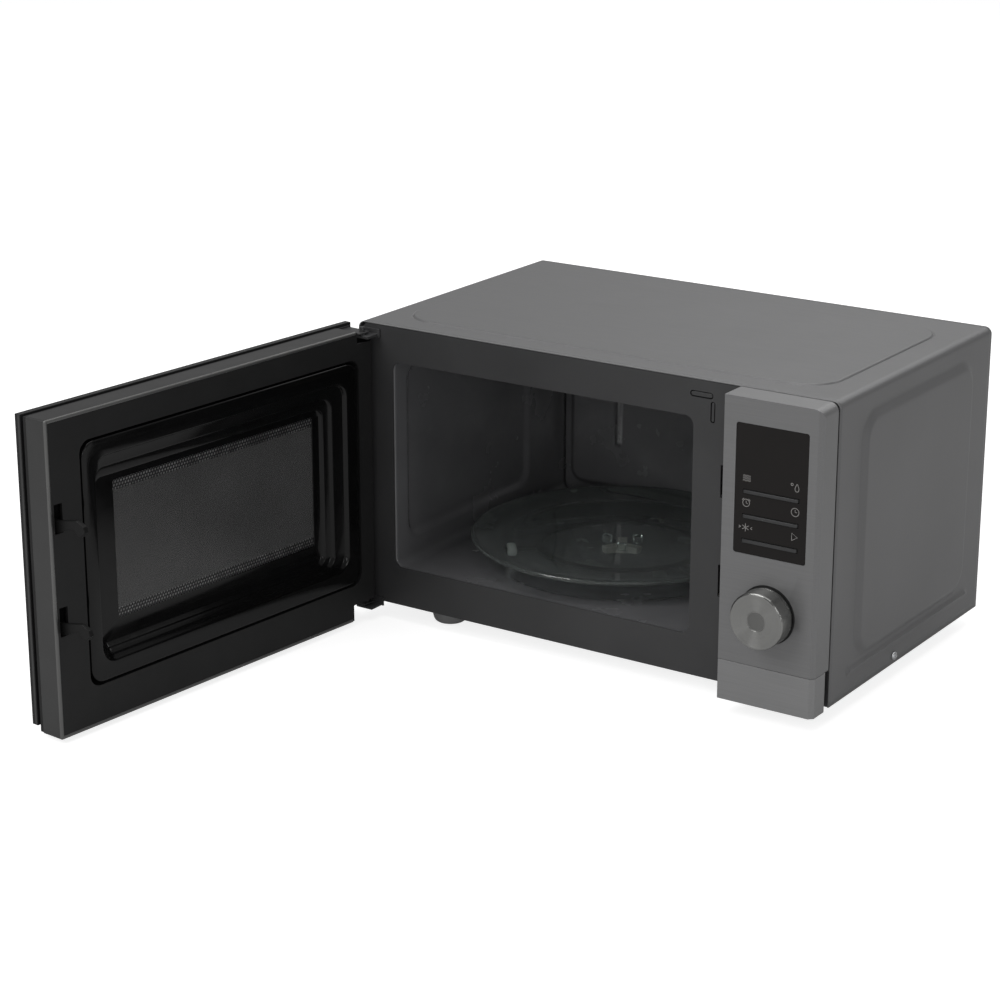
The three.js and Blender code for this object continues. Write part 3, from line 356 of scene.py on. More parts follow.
casing_paint = brushed_paint("casing_paint", (0.15, 0.15, 0.152), 0.5, 0.35, (0.02, 1, 1))
panel_paint = brushed_paint("panel_paint", (0.2, 0.2, 0.202), 0.45, 0.5, (0.02, 1, 1))
frame_paint = enamel("frame_paint", (0.036, 0.036, 0.037), 0.38)
cavity_paint = enamel("cavity_paint", (0.125, 0.125, 0.13), 0.24, Coat_Weight=0.3, Coat_Roughness=0.1)
dark_plastic = moulded("dark_plastic", (0.014, 0.014, 0.0142), 0.45, Specular_IOR_Level=0.22)
# lighter than the trim: a painted highlight along the door's rounded lip
lip_highlight_metal = moulded("lip_highlight_metal", (0.14, 0.14, 0.138), 0.3, 1200, 0.004, Metallic=0.6)
trim_metal = moulded("trim_metal", (0.05, 0.05, 0.05), 0.36, 1200, 0.006, Metallic=0.5)
key_plastic = moulded("key_plastic", (0.03, 0.03, 0.031), 0.36, 1800, 0.012)
white_plastic = moulded("white_plastic", (0.72, 0.72, 0.69), 0.38, 900, 0.015, Subsurface_Weight=0.05)
gloss_black = moulded("gloss_black", (0.003, 0.003, 0.0031), 0.12, 500, 0.004, Specular_IOR_Level=0.3)
hook_black = moulded("hook_black", (0.008, 0.008, 0.008), 0.4, 1200, 0.01, Specular_IOR_Level=0.15)
pane_black = moulded("pane_black", (0.010, 0.0085, 0.008), 0.14, 500, 0.003, Specular_IOR_Level=0.2)
# pale beige coupler plastic: partly its own colour, partly painted glints, the white and brownish sparkles on it
coupler_glint_plastic = moulded("coupler_glint_plastic", (0.72, 0.68, 0.62), 0.1, 300, 0.01, Coat_Weight=1.0,
                          Coat_Roughness=0.04)
button_paint = brushed_paint("button_paint", (0.25, 0.25, 0.252), 0.45, 0.45, (0.02, 1, 1))
grey_rubber = moulded("grey_rubber", (0.2, 0.2, 0.2), 0.62, 1100, 0.04)
zinc_steel = plated("zinc_steel", (0.58, 0.59, 0.6), 0.3)
bare_edge = plated("bare_edge", (0.5, 0.5, 0.51), 0.28)


def spun_metal(name, color, roughness, centre):
    """Metal spun on a lathe about Y: its highlight is drawn out along the radius, and fine rings follow the
    distance from the axis."""
    f = Finish(name, color, roughness, 1.0, Anisotropic=0.95)
    away = f.nodes.new("ShaderNodeVectorMath")
    away.operation = "SUBTRACT"
    away.inputs[1].default_value = [c * mm for c in centre]
    f.link(f.place, away.inputs[0])
    outward = f.nodes.new("ShaderNodeVectorMath")
    outward.operation = "MULTIPLY"
    outward.inputs[1].default_value = (1, 0, 1)
    f.link(away.outputs["Vector"], outward.inputs[0])
    f.link(outward.outputs["Vector"], f.shader.inputs["Tangent"])
    radius = f.nodes.new("ShaderNodeVectorMath")
    radius.operation = "LENGTH"
    f.link(outward.outputs["Vector"], radius.inputs[0])
    rings = f.nodes.new("ShaderNodeTexNoise")
    rings.noise_dimensions = "1D"
    rings.inputs["Scale"].default_value = 2600
    rings.inputs["Detail"].default_value = 2
    f.link(radius.outputs["Value"], rings.inputs["W"])
    f.tint(rings.outputs["Fac"], 0.86, 1.1)
    return f.relief(rings.outputs["Fac"], 0.012, 0.6).material


def clear_glass(name, color, roughness, clear=1.0, **sockets):
    """Clear or smoked glass with faint wiping marks in its gloss."""
    f = Finish(name, color, roughness, Transmission_Weight=clear, IOR=1.5, **sockets)
    f.gloss(f.noise(45, 4), roughness, roughness + 0.03)
    return f.material


def lacquered_wire(name, color):
    """Wound enamelled wire: round turns stacked up Z, with a varnish sheen."""
    f = Finish(name, color, 0.3, 0.6, Coat_Weight=0.5, Coat_Roughness=0.2)
    wave = f.nodes.new("ShaderNodeTexWave")
    wave.bands_direction = "Z"
    wave.inputs["Scale"].default_value = 220
    f.link(f.place, wave.inputs["Vector"])
    f.tint(wave.outputs["Fac"], 0.6, 1.15)
    return f.relief(wave.outputs["Fac"], 0.25, 0.8).material


def circuit(name, color):
    """Circuit board: copper tracks under green lacquer as the walls between large cells."""
    f = Finish(name, color, 0.3, Coat_Weight=0.4, Coat_Roughness=0.12)
    tracks = f.cells(150, "DISTANCE_TO_EDGE").outputs["Distance"]
    wide = f.nodes.new("ShaderNodeMath")
    wide.operation = "MULTIPLY"
    wide.inputs[1].default_value = 6.0
    f.link(tracks, wide.inputs[0])
    f.tint(wide.outputs["Value"], 0.7, 1.6)
    return f.relief(wide.outputs["Value"], 0.03, 0.4).material


copper_winding = lacquered_wire("copper_winding", (0.36, 0.13, 0.05))
circuit_board = circuit("circuit_board", (0.03, 0.13, 0.06))
mica = enamel("mica", (0.46, 0.41, 0.32), 0.42, metallic=0.25)
tray_glass = clear_glass("tray_glass", (0.84, 0.9, 0.88), 0.02, 0.95)
smoked_glass = clear_glass("smoked_glass", (0.75, 0.75, 0.76), 0.02)
lamp_glass = clear_glass("lamp_glass", (0.95, 0.9, 0.75), 0.15)
screen_metal = enamel("screen_metal", (0.012, 0.012, 0.013), 0.35)
print_grey = moulded("print_grey", (0.3, 0.29, 0.28), 0.5, 2000, 0.004)
foil_tape = plated("foil_tape", (0.4, 0.4, 0.395), 0.45)
# half-clear grey film: a real film whose grey tone is painted sheen that brightens the door's window
sheen_film = moulded("sheen_film", (0.085, 0.085, 0.085), 0.22, 60, 0.01, Alpha=0.55)


# ---------- casing ----------
side_height = top - 6.0
bend = 6.0
bend_length = bend * np.pi / 2
roof_width = right - left - 2 * bend


def round_the_casing(s):
    """Place and outward direction on the casing's section at a distance s along it: up the left side, round a
    bend, over the roof, round a bend and down the right side."""
    a = np.clip((s - side_height) / bend, 0, np.pi / 2)
    b = np.clip((s - side_height - bend_length - roof_width) / bend, 0, np.pi / 2)
    angle = a + b
    roof = np.clip(s - side_height - bend_length, 0, roof_width)
    x = left + bend - bend * np.cos(a) + roof + bend * np.sin(b)
    z = np.minimum(s, side_height) + bend * np.sin(a) - bend + bend * np.cos(b)
    z = z - np.maximum(s - side_height - 2 * bend_length - roof_width, 0)
    return x, z, -np.cos(angle), np.sin(angle)


# Each outline is (depth from, depth to, z from, z to, corner radius)
pad_outline, pad_slope, pad_height = (37, 236, 25, 224, 24), 8, 3.2
bead_outline, bead_slope, bead_height = (27, 245, 17, 24, 3.5), 3, 2.4
pan_outline, pan_slope, pan_depth = (19, 204, 52, 205, 16), 6, 3.0


def casing_relief(x, y, z, nx):
    """Pressed relief, outwards: a smooth pad and a low bead on each side, and a flat plateau with a sharp
    little step on the roof."""
    on_side = np.abs(nx) > 0.99
    depth = y - front
    pad = smooth(inside_round(depth, z, *pad_outline), 0, pad_slope) * pad_height
    bead = smooth(inside_round(depth, z, *bead_outline), 0, bead_slope) * bead_height
    inward = inside_round(x, depth, -197, 194, 24, 236, 30)
    plateau = smooth(inward, 0.3, 1.4) * 1.0 - (1 - smooth(np.abs(inward), 0.0, 1.0)) * 0.5
    return np.where(on_side, pad + bead, np.where(np.abs(nx) < 0.01, plateau, 0))


def casing_wrapper():
    """The sheet wrapped over both sides and the roof: its section moved out by the relief, on a grid that is
    fine at the pressed edges."""
    side = [(0, 12, 6), (12, 58, 2.2), (58, 196, 12), (196, side_height, 2.2)]
    start = side_height + bend_length
    roof = [(start, start + 14, 3), (start + 14, start + 50, 0.6), (start + 50, start + roof_width - 54, 14),
            (start + roof_width - 54, start + roof_width - 16, 0.6),
            (start + roof_width - 16, start + roof_width, 3)]
    end = start + roof_width + bend_length
    down = [(end + side_height - b, end + side_height - a, g) for a, b, g in side[::-1]]
    s = lines(*side, (side_height, start, 1.0), *roof, (start + roof_width, end, 1.0), *down)
    y = front + lines((0, 21, 4), (21, 56, 0.6), (56, 204, 9), (204, 240, 0.7), (240, back - front, 5))
    s, y = np.meshgrid(s, y, indexing="ij")
    x, z, nx, nz = round_the_casing(s)
    lift = casing_relief(x, y, z, nx)
    obj = surface("casing_wrapper", np.stack([x + nx * lift, y, z + nz * lift], -1))
    obj.data.flip_normals() if obj.data.polygons[0].normal.x > 0 else None
    wall = obj.modifiers.new("sheet", "SOLIDIFY")
    wall.thickness = sheet * mm
    wall.offset = -1
    return dress(obj, "cabinet", casing_paint, ("outer_casing",), 50)


def casing_hem(name, y, radius):
    """Rolled front edge of the wrapper: a small round bead carried along the casing's section."""
    s = lines((0, side_height, 40), (side_height, side_height + bend_length, 1.0),
              (side_height + bend_length, side_height + bend_length + roof_width, 60),
              (side_height + bend_length + roof_width, side_height + 2 * bend_length + roof_width, 1.0),
              (side_height + 2 * bend_length + roof_width, 2 * side_height + 2 * bend_length + roof_width, 40))
    x, z, nx, nz = (v[:, None] for v in round_the_casing(s))
    a = np.arange(10) * np.pi / 5
    out = radius * (np.cos(a) - 1)
    points = np.stack([x + nx * out, np.broadcast_to(y + radius * np.sin(a), (len(s), 10)), z + nz * out], -1)
    return dress(surface(name, points, close_columns=True, capped=True), "cabinet", bare_edge)


def domed_screw(name, node, centre, axis):
    """Pan-head screw: a dome in polar steps, its crossed recess cut where either coordinate is near the middle,
    and its packed shank behind."""
    radius, rise, sides = 3.6, 2.0, 48
    a = np.arange(sides) * 2 * np.pi / sides
    r = np.linspace(0.04, radius, 14)
    u, v = r[:, None] * np.cos(a), r[:, None] * np.sin(a)
    height = rise * np.sqrt(np.clip(1 - (r[:, None] / radius) ** 4, 0, 1)) + 0 * u
    arm = np.minimum(np.abs(u), np.abs(v))
    height = height - 1.1 * (1 - smooth(arm, 0.35, 0.7)) * (1 - smooth(np.maximum(np.abs(u), np.abs(v)), 1.7,
                                                                       2.1))
    side, up, out = axis
    shank_u, shank_v = 1.6 * np.cos(a), 1.6 * np.sin(a)
    rows = [np.stack([u[i], v[i], height[i]], -1) for i in range(len(r))]
    rows += [np.stack([radius * np.cos(a), radius * np.sin(a), np.full(sides, -0.05)], -1)]
    rows += [np.stack([shank_u, shank_v, np.full(sides, h)], -1) for h in (-0.05, -8.0)]
    local = np.stack(rows)
    points = np.array(centre) + local @ np.array([side, up, out], float)
    return dress(surface(name, points, close_columns=True, capped=True), "cabinet", zinc_steel,
                 (node,))


casing_wrapper()
casing_hem("casing_front_hem", front + 0.6, 0.6)
screw_low, screw_high = span("case_screw_right")
screw_y, screw_z = (screw_low[1] + screw_high[1]) / 2, (screw_low[2] + screw_high[2]) / 2
domed_screw("side_screw_right", "case_screw_right", (right + 0.3, screw_y, screw_z),
            ((0, 1, 0), (0, 0, 1), (1, 0, 0)))
domed_screw("side_screw_left", "case_screw_left", (left - 0.3, screw_y, screw_z),
            ((0, -1, 0), (0, 0, 1), (-1, 0, 0)))
for hand in ("left", "right"):
    low, high = span(f"rear_screw_{hand}")
    domed_screw(f"back_screw_{hand}", f"rear_screw_{hand}",
                ((low[0] + high[0]) / 2, back + 0.3, (low[2] + high[2]) / 2),
                ((-1, 0, 0), (0, 0, 1), (0, 1, 0)))


def rubber_foot(place):
    """Moulded foot: a rounded cup with a shallow ring in its sole."""
    low, high = span(f"foot_{place}")
    r, x, y = (high[0] - low[0]) / 2, (low[0] + high[0]) / 2, (low[1] + high[1]) / 2
    sole = low[2]
    profile = [(0.02, sole + 1), (r - 9, sole + 1), (r - 8.2, sole + 0.6), (r - 7.6, sole), (r - 5, sole),
               (r - 3.4, sole + 0.4), (r - 2, sole + 1.4),
               (r - 0.9, sole + 3.4), (r - 0.3, sole + 5.6), (r, sole + 8), (r, high[2] - 0.6),
               (r - 0.4, high[2]), (0.02, high[2])]
    return dress(turned(f"{place}_rubber_foot", profile, (x, y, 0), sides=48), "cabinet", grey_rubber,
                 (f"foot_{place}",))


for place in ("front_left", "front_right", "rear_left", "rear_right"):
    rubber_foot(place)

softened("front_frame", frame_paint, 0.35)
softened("bay_front_plate", frame_paint, 0.3, 1)


def opening_corners():
    """Webs that round off the front plate's opening: in each corner the flat patch between the plate's own arc,
    pushed 0.4 mm into the plate, and a wider arc that touches the same two sides."""
    r, cut_r = 8.0, 4.5
    low, high = (open_left, 33.9), (open_right, top - 30.5)
    turn = np.linspace(0, np.pi / 2, 13)
    for index, (sx, sz) in enumerate(((1, -1), (1, 1), (-1, 1), (-1, -1))):
        cx = (high if sx > 0 else low)[0]
        cz = (high if sz > 0 else low)[1]
        rows = []
        for radius, out, y in ((r, 0, 0.05), (cut_r, 0.4, 0.05), (cut_r, 0.4, 1.15), (r, 0, 1.15)):
            x = cx - sx * (radius - (radius + out) * np.cos(turn))
            z = cz - sz * (radius - (radius + out) * np.sin(turn))
            rows.append(np.stack([x, np.full(13, front + y), z], -1))
        obj = surface(f"opening_corner_{index + 1}", np.stack(rows), close_rows=True)
        dress(obj, "cabinet", frame_paint)


def gauge_insert(name, x0, x1, z0, z1, radius):
    """Plate set in one of the gauge holes, a hair behind the front plate's face, with a dark gap round it."""
    gap = 0.75
    edge = (x0 + gap, x1 - gap, z0 + gap, z1 - gap)
    rings = [(*edge, radius - gap, front + 1.1), (*edge, radius - gap, front + 0.4),
             (edge[0] + 0.3, edge[1] - 0.3, edge[2] + 0.3, edge[3] - 0.3, radius - gap - 0.3, front + 0.1)]
    return dress(lofted(name, rings), "cabinet", frame_paint)


opening_corners()
gauge_insert("gauge_insert_wide", panel_left - 45, panel_left - 25, top - 15, top - 10, 2.4)
gauge_insert("gauge_insert_tall", panel_left - 27, panel_left - 23, top - 33.3, top - 16.8, 1.9)
softened("rear_panel", frame_paint, 0.3, 1)
softened("base_plate", zinc_steel, 0.3, 1)
softened("cord_gland", dark_plastic, 0.4)
softened("upper_hinge_bracket", frame_paint, 0.3)
softened("lower_hinge_bracket", frame_paint, 0.3)
for hand, node in (("upper", "upper_hinge_bracket"), ("lower", "lower_hinge_bracket")):
    foot, head = span(node)[0][2], span(node)[1][2]
    plate = top - 10.5 if hand == "upper" else foot
    ends = (plate + 1.9, plate + 3.1) if hand == "upper" else (plate + 8, plate + 9.4)
    profile = [(0.02, ends[0]), (3.2, ends[0]), (3.4, ends[0] + 0.3), (3.4, ends[1] - 0.3), (3.1, ends[1]),
               (0.02, ends[1])]
    dress(turned(f"{hand}_pin_washer", profile, (hinge_x, hinge_y, 0), sides=32), "cabinet", zinc_steel)


# ---------- cavity ----------
def round_the_cavity(t):
    """Place and outward direction on the cavity's section at a distance t along it: down the left wall, along
    the floor, up the right wall and back along the roof, with quarter-circle corners."""
    r = 8.0
    high, wide = cavity_roof - cavity_floor - 2 * r, open_right - open_left - 2 * r
    quarter = r * np.pi / 2
    stops = np.cumsum([0, high, quarter, wide, quarter, high, quarter, wide, quarter])
    a = [np.clip((t - stops[k]) / r, 0, np.pi / 2) for k in (1, 3, 5, 7)]
    angle = sum(a)
    x = open_left + r - r * np.cos(a[0]) + np.clip(t - stops[2], 0, wide) + r * np.sin(a[1])
    x = x - r + r * np.cos(a[2]) - np.clip(t - stops[6], 0, wide) - r * np.sin(a[3])
    z = cavity_roof - r - np.clip(t, 0, high) - r * np.sin(a[0]) + r - r * np.cos(a[1])
    z = z + np.clip(t - stops[4], 0, high) + r * np.sin(a[2]) - r + r * np.cos(a[3])
    return x, z, -np.cos(angle), -np.sin(angle), stops


turn_x, turn_y = np.array(joints["turntable_turn"]["pos_m"])[:2] / mm
track_radius = 95.25


def cavity_walls():
    """Left wall, floor, right wall and roof as one pressed sheet: a long shallow pan in the left wall, and a
    shallow ring in the floor under the rollers."""
    stops = round_the_cavity(np.array([0.0]))[4]
    high = stops[1]
    t = lines((0, 20, 2.5), (20, high - 36, 12), (high - 36, high, 2.5), (high, stops[2], 1.6),
              (stops[2], stops[3], 4.5), (stops[3], stops[4], 1.6), (stops[4], stops[4] + 36, 2.5),
              (stops[4] + 36, stops[5] - 20, 12), (stops[5] - 20, stops[5], 2.5), (stops[5], stops[6], 1.6),
              (stops[6], stops[7], 30), (stops[7], stops[8], 1.6))[:-1]
    y = cavity_front + lines((0, 14, 3.5), (14, 34, 2), (34, 186, 4.5), (186, 212, 2),
                             (212, cavity_back - cavity_front, 5))
    t, y = np.meshgrid(t, y, indexing="ij")
    x, z, nx, nz, _ = round_the_cavity(t)
    depth = y - front
    side = (np.abs(nx) > 0.99) & (x < 0)
    pan = smooth(inside_round(depth, z, *pan_outline), 0, pan_slope) * pan_depth
    from_turn = np.hypot(x - turn_x, y - turn_y)
    ring = smooth(from_turn, track_radius - 16, track_radius - 10) * (1 - smooth(from_turn, track_radius + 10, track_radius + 16))
    lift = np.where(side, pan, np.where((nz < -0.99), ring, 0))
    return surface("cavity_walls", np.stack([x + nx * lift, y, z + nz * lift], -1), close_rows=True)


def faces_towards(obj, point):
    """Turns a skin's normals to look at a point, from the side its first face is on."""
    face = obj.data.polygons[0]
    if face.normal.dot(Vector(point) * mm - face.center) < 0:
        obj.data.flip_normals()


def pressed(obj, finish, replaced=()):
    """Gives a cavity skin its sheet thickness behind the face that shows."""
    faces_towards(obj, ((open_left + open_right) / 2, 0, (cavity_floor + cavity_roof) / 2))
    wall = obj.modifiers.new("sheet", "SOLIDIFY")
    wall.thickness = 0.9 * mm
    wall.offset = -1
    return dress(obj, "cabinet", finish, replaced, 50)


def cavity_rear():
    """Back wall: a wide raised plateau with round corners, and two upright beads with round ends, on a fine
    grid."""
    x = lines((open_left - 0.8, open_left + 24, 1.5), (open_left + 24, -136, 6), (-136, -120, 1.2),
              (-120, 22, 10), (22, 38, 1.2),
              (38, open_right - 24, 8), (open_right - 24, open_right + 0.8, 1.5))
    z = lines((cavity_floor - 0.8, cavity_floor + 26, 1.5), (cavity_floor + 26, 80, 4), (80, 92, 1.2),
              (92, cavity_roof - 24, 10),
              (cavity_roof - 24, cavity_roof + 0.8, 1.5))
    x, z = np.meshgrid(x, z, indexing="ij")
    plateau = smooth(inside_round(x, z, open_left + 5, open_right - 5, cavity_floor + 8, cavity_roof - 6, 15),
                     0, 6) * 3.5
    beads = sum(smooth(inside_round(x, z, c - 4, c + 4, 82, cavity_roof - 16, 4), 0,
                       3.6) * 2.4 for c in (-128, 30))
    return surface("cavity_rear_wall", np.stack([x, cavity_back - plateau - beads, z], -1))


def perforated(name, x, z, y, thickness, pitch, row, hole, place=None, sides=8):
    """Punched sheet between two corners: staggered cells, each a ring of faces between a round hole and the
    cell's border, on both faces, with the hole's wall between them."""
    columns, rows = int((x[1] - x[0]) // pitch), int((z[1] - z[0]) // row)
    pitch, row = (x[1] - x[0]) / columns, (z[1] - z[0]) / rows
    i, j = np.meshgrid(np.arange(columns), np.arange(rows), indexing="ij")
    half = np.where(j % 2, 0.5, 0.0)
    cx, cz = (x[0] + (i + half + 0.25) * pitch).ravel(), (z[0] + (j + 0.5) * row).ravel()
    a = np.arange(sides) * 2 * np.pi / sides + np.pi / sides * 0
    square = np.stack([np.clip(np.cos(a) * 1.5, -1, 1) * pitch / 2, np.clip(np.sin(a) * 1.5, -1, 1) * row / 2],
                      -1)
    circle = np.stack([np.cos(a), np.sin(a)], -1) * hole / 2
    centre = np.stack([cx, cz], -1)[:, None, :]
    outer, inner = centre + square, centre + circle
    outer[..., 0] = np.clip(outer[..., 0], x[0], x[1])
    depths = [(outer, y), (inner, y), (inner, y + thickness), (outer, y + thickness)]
    points = np.stack([np.stack([p[..., 0], np.full(p.shape[:2], d), p[..., 1]], -1) for p, d in depths], 1)
    points = place(points) if place else points
    cells, levels = points.shape[:2]
    c, l, s = np.meshgrid(np.arange(cells), np.arange(levels - 1), np.arange(sides), indexing="ij")
    base, nxt = c * levels * sides, (s + 1) % sides
    quads = np.stack([base + l * sides + s, base + l * sides + nxt, base + (l + 1) * sides + nxt,
                      base + (l + 1) * sides + s], -1)
    return mesh_object(name, points, quads.reshape(-1, 4).tolist())


pressed(cavity_walls(), cavity_paint, ("cavity_shell",))
pressed(cavity_rear(), cavity_paint)


# ---------- turntable ----------
def glass_tray():
    """Turntable glass: a flat disc with a raised rim and a step where it sits over the rollers."""
    low, high = span("glass_tray")
    r, z, rim = (high[0] - low[0]) / 2, low[2] + 6.0, high[2]
    t = 3.6
    top_side = [(0.05, z + t), (30, z + t), (r - 42, z + t), (r - 40, z + t + 0.5), (r - 24, z + t + 0.5),
                (r - 17, z + t + 0.9),
                (r - 12, z + t + 1.9), (r - 7, rim - 1.8), (r - 4.5, rim - 0.8), (r - 3, rim - 0.3),
                (r - 1.6, rim)]
    edge = [(r - 0.7, rim - 0.15), (r - 0.15, rim - 0.8), (r, rim - 1.6), (r - 0.3, rim - 2.6)]
    under = [(r - 3, rim - 4.4), (r - 8, z + 2.6), (r - 14, z + 0.9), (r - 20, z + 0.1), (r - 24, z),
             (r - 42, z), (30, z), (0.05, z)]
    obj = turned("turntable_glass", top_side + edge + under, (turn_x, turn_y, 0), sides=128)
    return dress(obj, "tray", tray_glass, ("glass_tray",), 25)


def tray_lug(name, degrees):
    """Driving lug under the glass: a short block with round ends, tapering down."""
    low = span("glass_tray")[0]
    rings = [(11.7, 18.3, -3.4, 3.4, 1.6, low[2]), (11.4, 18.6, -3.7, 3.7, 1.8, low[2] + 0.6),
             (11.2, 18.8, -4, 4, 2, low[2] + 6.2)]
    a = np.radians(degrees)

    def swung(points):
        """Height and across swapped, then turned about the turntable's axis."""
        x, h, y = np.moveaxis(points, -1, 0)
        return np.stack([turn_x + x * np.cos(a) - y * np.sin(a), turn_y + x * np.sin(a) + y * np.cos(a), h], -1)

    return dress(lofted(name, rings, place=swung), "tray", tray_glass)


glass_tray()
for index, degrees in enumerate((60, 180, 300)):
    tray_lug(f"tray_lug_{index + 1}", degrees)
softened("roller_ring", dark_plastic, 0.4)
for index in (1, 2, 3):
    softened(f"roller_wheel_{index}", white_plastic, 0.3)
softened("turntable_coupler", coupler_glint_plastic, 0.8, 3)

# ---------- control panel ----------
softened("control_panel", panel_paint, 0.7, 3, 40)
softened("door_button", button_paint, 0.6, 3, 40)
softened("display_window", pane_black, 0.25)
for use in ("menu", "timer", "start"):
    softened(f"rocker_key_{use}", key_plastic, 0.35)
knob_low, knob_high = span("control_knob")
knob_x, knob_z = (knob_low[0] + knob_high[0]) / 2, (knob_low[2] + knob_high[2]) / 2
knob_metal = spun_metal("knob_metal", (0.3, 0.3, 0.292), 0.24, (knob_x, 0, knob_z))
knob_centre_metal = enamel("knob_centre_metal", (0.2, 0.2, 0.195), 0.45, Metallic=1.0)


def knob():
    """Spun knob: a straight skirt with a fine groove near its foot, a rounded shoulder and a shallow dished
    face."""
    r, h = (knob_high[0] - knob_low[0]) / 2, knob_high[1] - knob_low[1]
    base = -knob_high[1]
    profile = [(3.3, 5), (3.3, 0), (r - 1.4, 0), (r - 0.6, 0.4), (r - 0.3, 1.4), (r - 0.3, 3.0),
               (r - 0.9, 3.2), (r - 0.9, 3.9), (r, 4.2),
               (r, h - 1.8), (r - 0.12, h - 1.2), (r - 0.5, h - 0.5), (r - 1.2, h - 0.08), (r - 1.8, h),
               (r - 2.6, h - 0.2),
               (16, h - 0.35), (12, h - 0.55), (7.9, h - 0.75), (7.6, h - 1.1), (0.03, h - 1.1)]
    obj = turned("spun_knob", [(a, b + base) for a, b in profile], (knob_x, 0, knob_z), "y", 96)
    return dress(obj, "knob", knob_metal, ("control_knob",), 28)


def knob_centre():
    """Matte disc let into the middle of the knob's face."""
    face = -knob_low[1] - 0.95
    profile = [(0.03, face), (6.8, face), (7.2, face - 0.1), (7.4, face - 0.35), (7.4, face - 0.6),
               (0.03, face - 0.6)]
    return dress(turned("knob_centre", profile, (knob_x, 0, knob_z), "y", 64), "knob", knob_centre_metal)


def knob_shadow_ring():
    """Dark ring in the panel's dish behind the knob: painted shade where the gap round the knob's foot lies in
    shadow.
    """
    face = -panel_front - 0.75
    profile = [(5.4, face), (5.4, face + 0.5), (21, face + 0.5), (22.9, face + 0.6), (23.3, face + 0.4),
               (23.3, face), (5.4, face)]
    r, h = np.array(profile, float).T
    a = np.arange(72) * 2 * np.pi / 72
    points = np.stack([knob_x + r[:, None] * np.cos(a), np.broadcast_to(-h[:, None], (len(r), 72)),
                       knob_z + r[:, None] * np.sin(a)], -1)
    return dress(surface("knob_shadow_ring", points, close_columns=True), "cabinet", dark_plastic)


knob()
knob_centre()
knob_shadow_ring()


def strokes(name, paths, width, y):
    """Printed marks: each path of points widened to both sides along its own normal, and given a hair's
    thickness."""
    vertices, faces = [], []
    for path in paths:
        p = np.array(path, float)
        ahead = np.gradient(p, axis=0)
        ahead /= np.linalg.norm(ahead, axis=1, keepdims=True)
        side = np.stack([-ahead[:, 1], ahead[:, 0]], -1) * width / 2
        ring = [np.stack([q[:, 0], np.full(len(q), d), q[:, 1]], -1) for q,
                d in ((p - side, y), (p + side, y), (p + side, y + 0.1), (p - side, y + 0.1))]
        points = np.stack(ring, 1)
        count = sum(len(v) for v in vertices)
        vertices.append(points.reshape(-1, 3))
        faces += grid_faces(len(p), 4, close_columns=True, first=count)
        faces += [[count + k for k in range(4)], [count + (len(p) - 1) * 4 + k for k in range(4)]]
    return mesh_object(name, np.concatenate(vertices), faces)


def arc(x, z, radius, start, end, steps=20):
    """Points on a circle's arc, its angles in degrees."""
    a = np.radians(np.linspace(start, end, steps))
    return np.stack([x + radius * np.cos(a), z + radius * np.sin(a)], -1)


def key_icons():
    """Plain line icons over the ends of each key: waves and a temperature drop, an alarm and a clock, a thawing
    star and a start arrow."""
    paths = []
    x0, x1 = (pane_low[0] + pane_high[0]) / 2 - 20.5, (pane_low[0] + pane_high[0]) / 2 + 20.5
    rows = [span(f"rocker_key_{use}") for use in ("menu", "timer", "start")]
    z = [(low[2] + high[2]) / 2 + 10.4 for low, high in rows]
    for k in (-1.8, 0, 1.8):
        u = np.linspace(-3.2, 3.2, 24)
        paths.append(np.stack([x0 + u, z[0] + k + 0.55 * np.sin(u * 2.2)], -1))
    paths.append(arc(x1 - 3.2, z[0] + 1.8, 0.9, 0, 360))
    drop = np.linspace(0, 2 * np.pi, 24)
    paths.append(np.stack([x1 + 0.9 + 2.1 * np.sin(drop) * np.sin(drop / 2), z[0] - 0.4 + 3.0 * np.cos(drop)],
                          -1))
    paths += [arc(x0, z[1], 2.9, 0, 360), [(x0, z[1] + 1.6), (x0, z[1]), (x0 + 1.3, z[1] - 0.6)],
              [(x0 - 3.4, z[1] + 1.9), (x0 - 1.9, z[1] + 3.4)],
              [(x0 + 3.4, z[1] + 1.9), (x0 + 1.9, z[1] + 3.4)]]
    paths += [arc(x1, z[1], 3.2, 0, 360), [(x1, z[1] + 2.0), (x1, z[1]), (x1 + 1.6, z[1])]]
    for degrees in (0, 60, 120):
        c, s = 3.1 * np.cos(np.radians(degrees + 90)), 3.1 * np.sin(np.radians(degrees + 90))
        paths.append([(x0 + c, z[2] + s), (x0, z[2]), (x0 - c, z[2] - s)])
    paths += [[(x0 - 5.6, z[2] + 0.9), (x0 - 4.1, z[2])], [(x0 - 5.6, z[2] - 0.9), (x0 - 4.1, z[2])],
              [(x0 + 5.6, z[2] + 0.9), (x0 + 4.1, z[2])], [(x0 + 5.6, z[2] - 0.9), (x0 + 4.1, z[2])]]
    paths.append([(x1 - 2.1, z[2] - 2.9), (x1 - 2.1, z[2] + 2.9), (x1 + 2.6, z[2]), (x1 - 2.1, z[2] - 2.9)])
    obj = strokes("key_icons", paths, 0.42, pane_low[1] - 0.06)
    return dress(obj, "cabinet", print_grey)


key_icons()


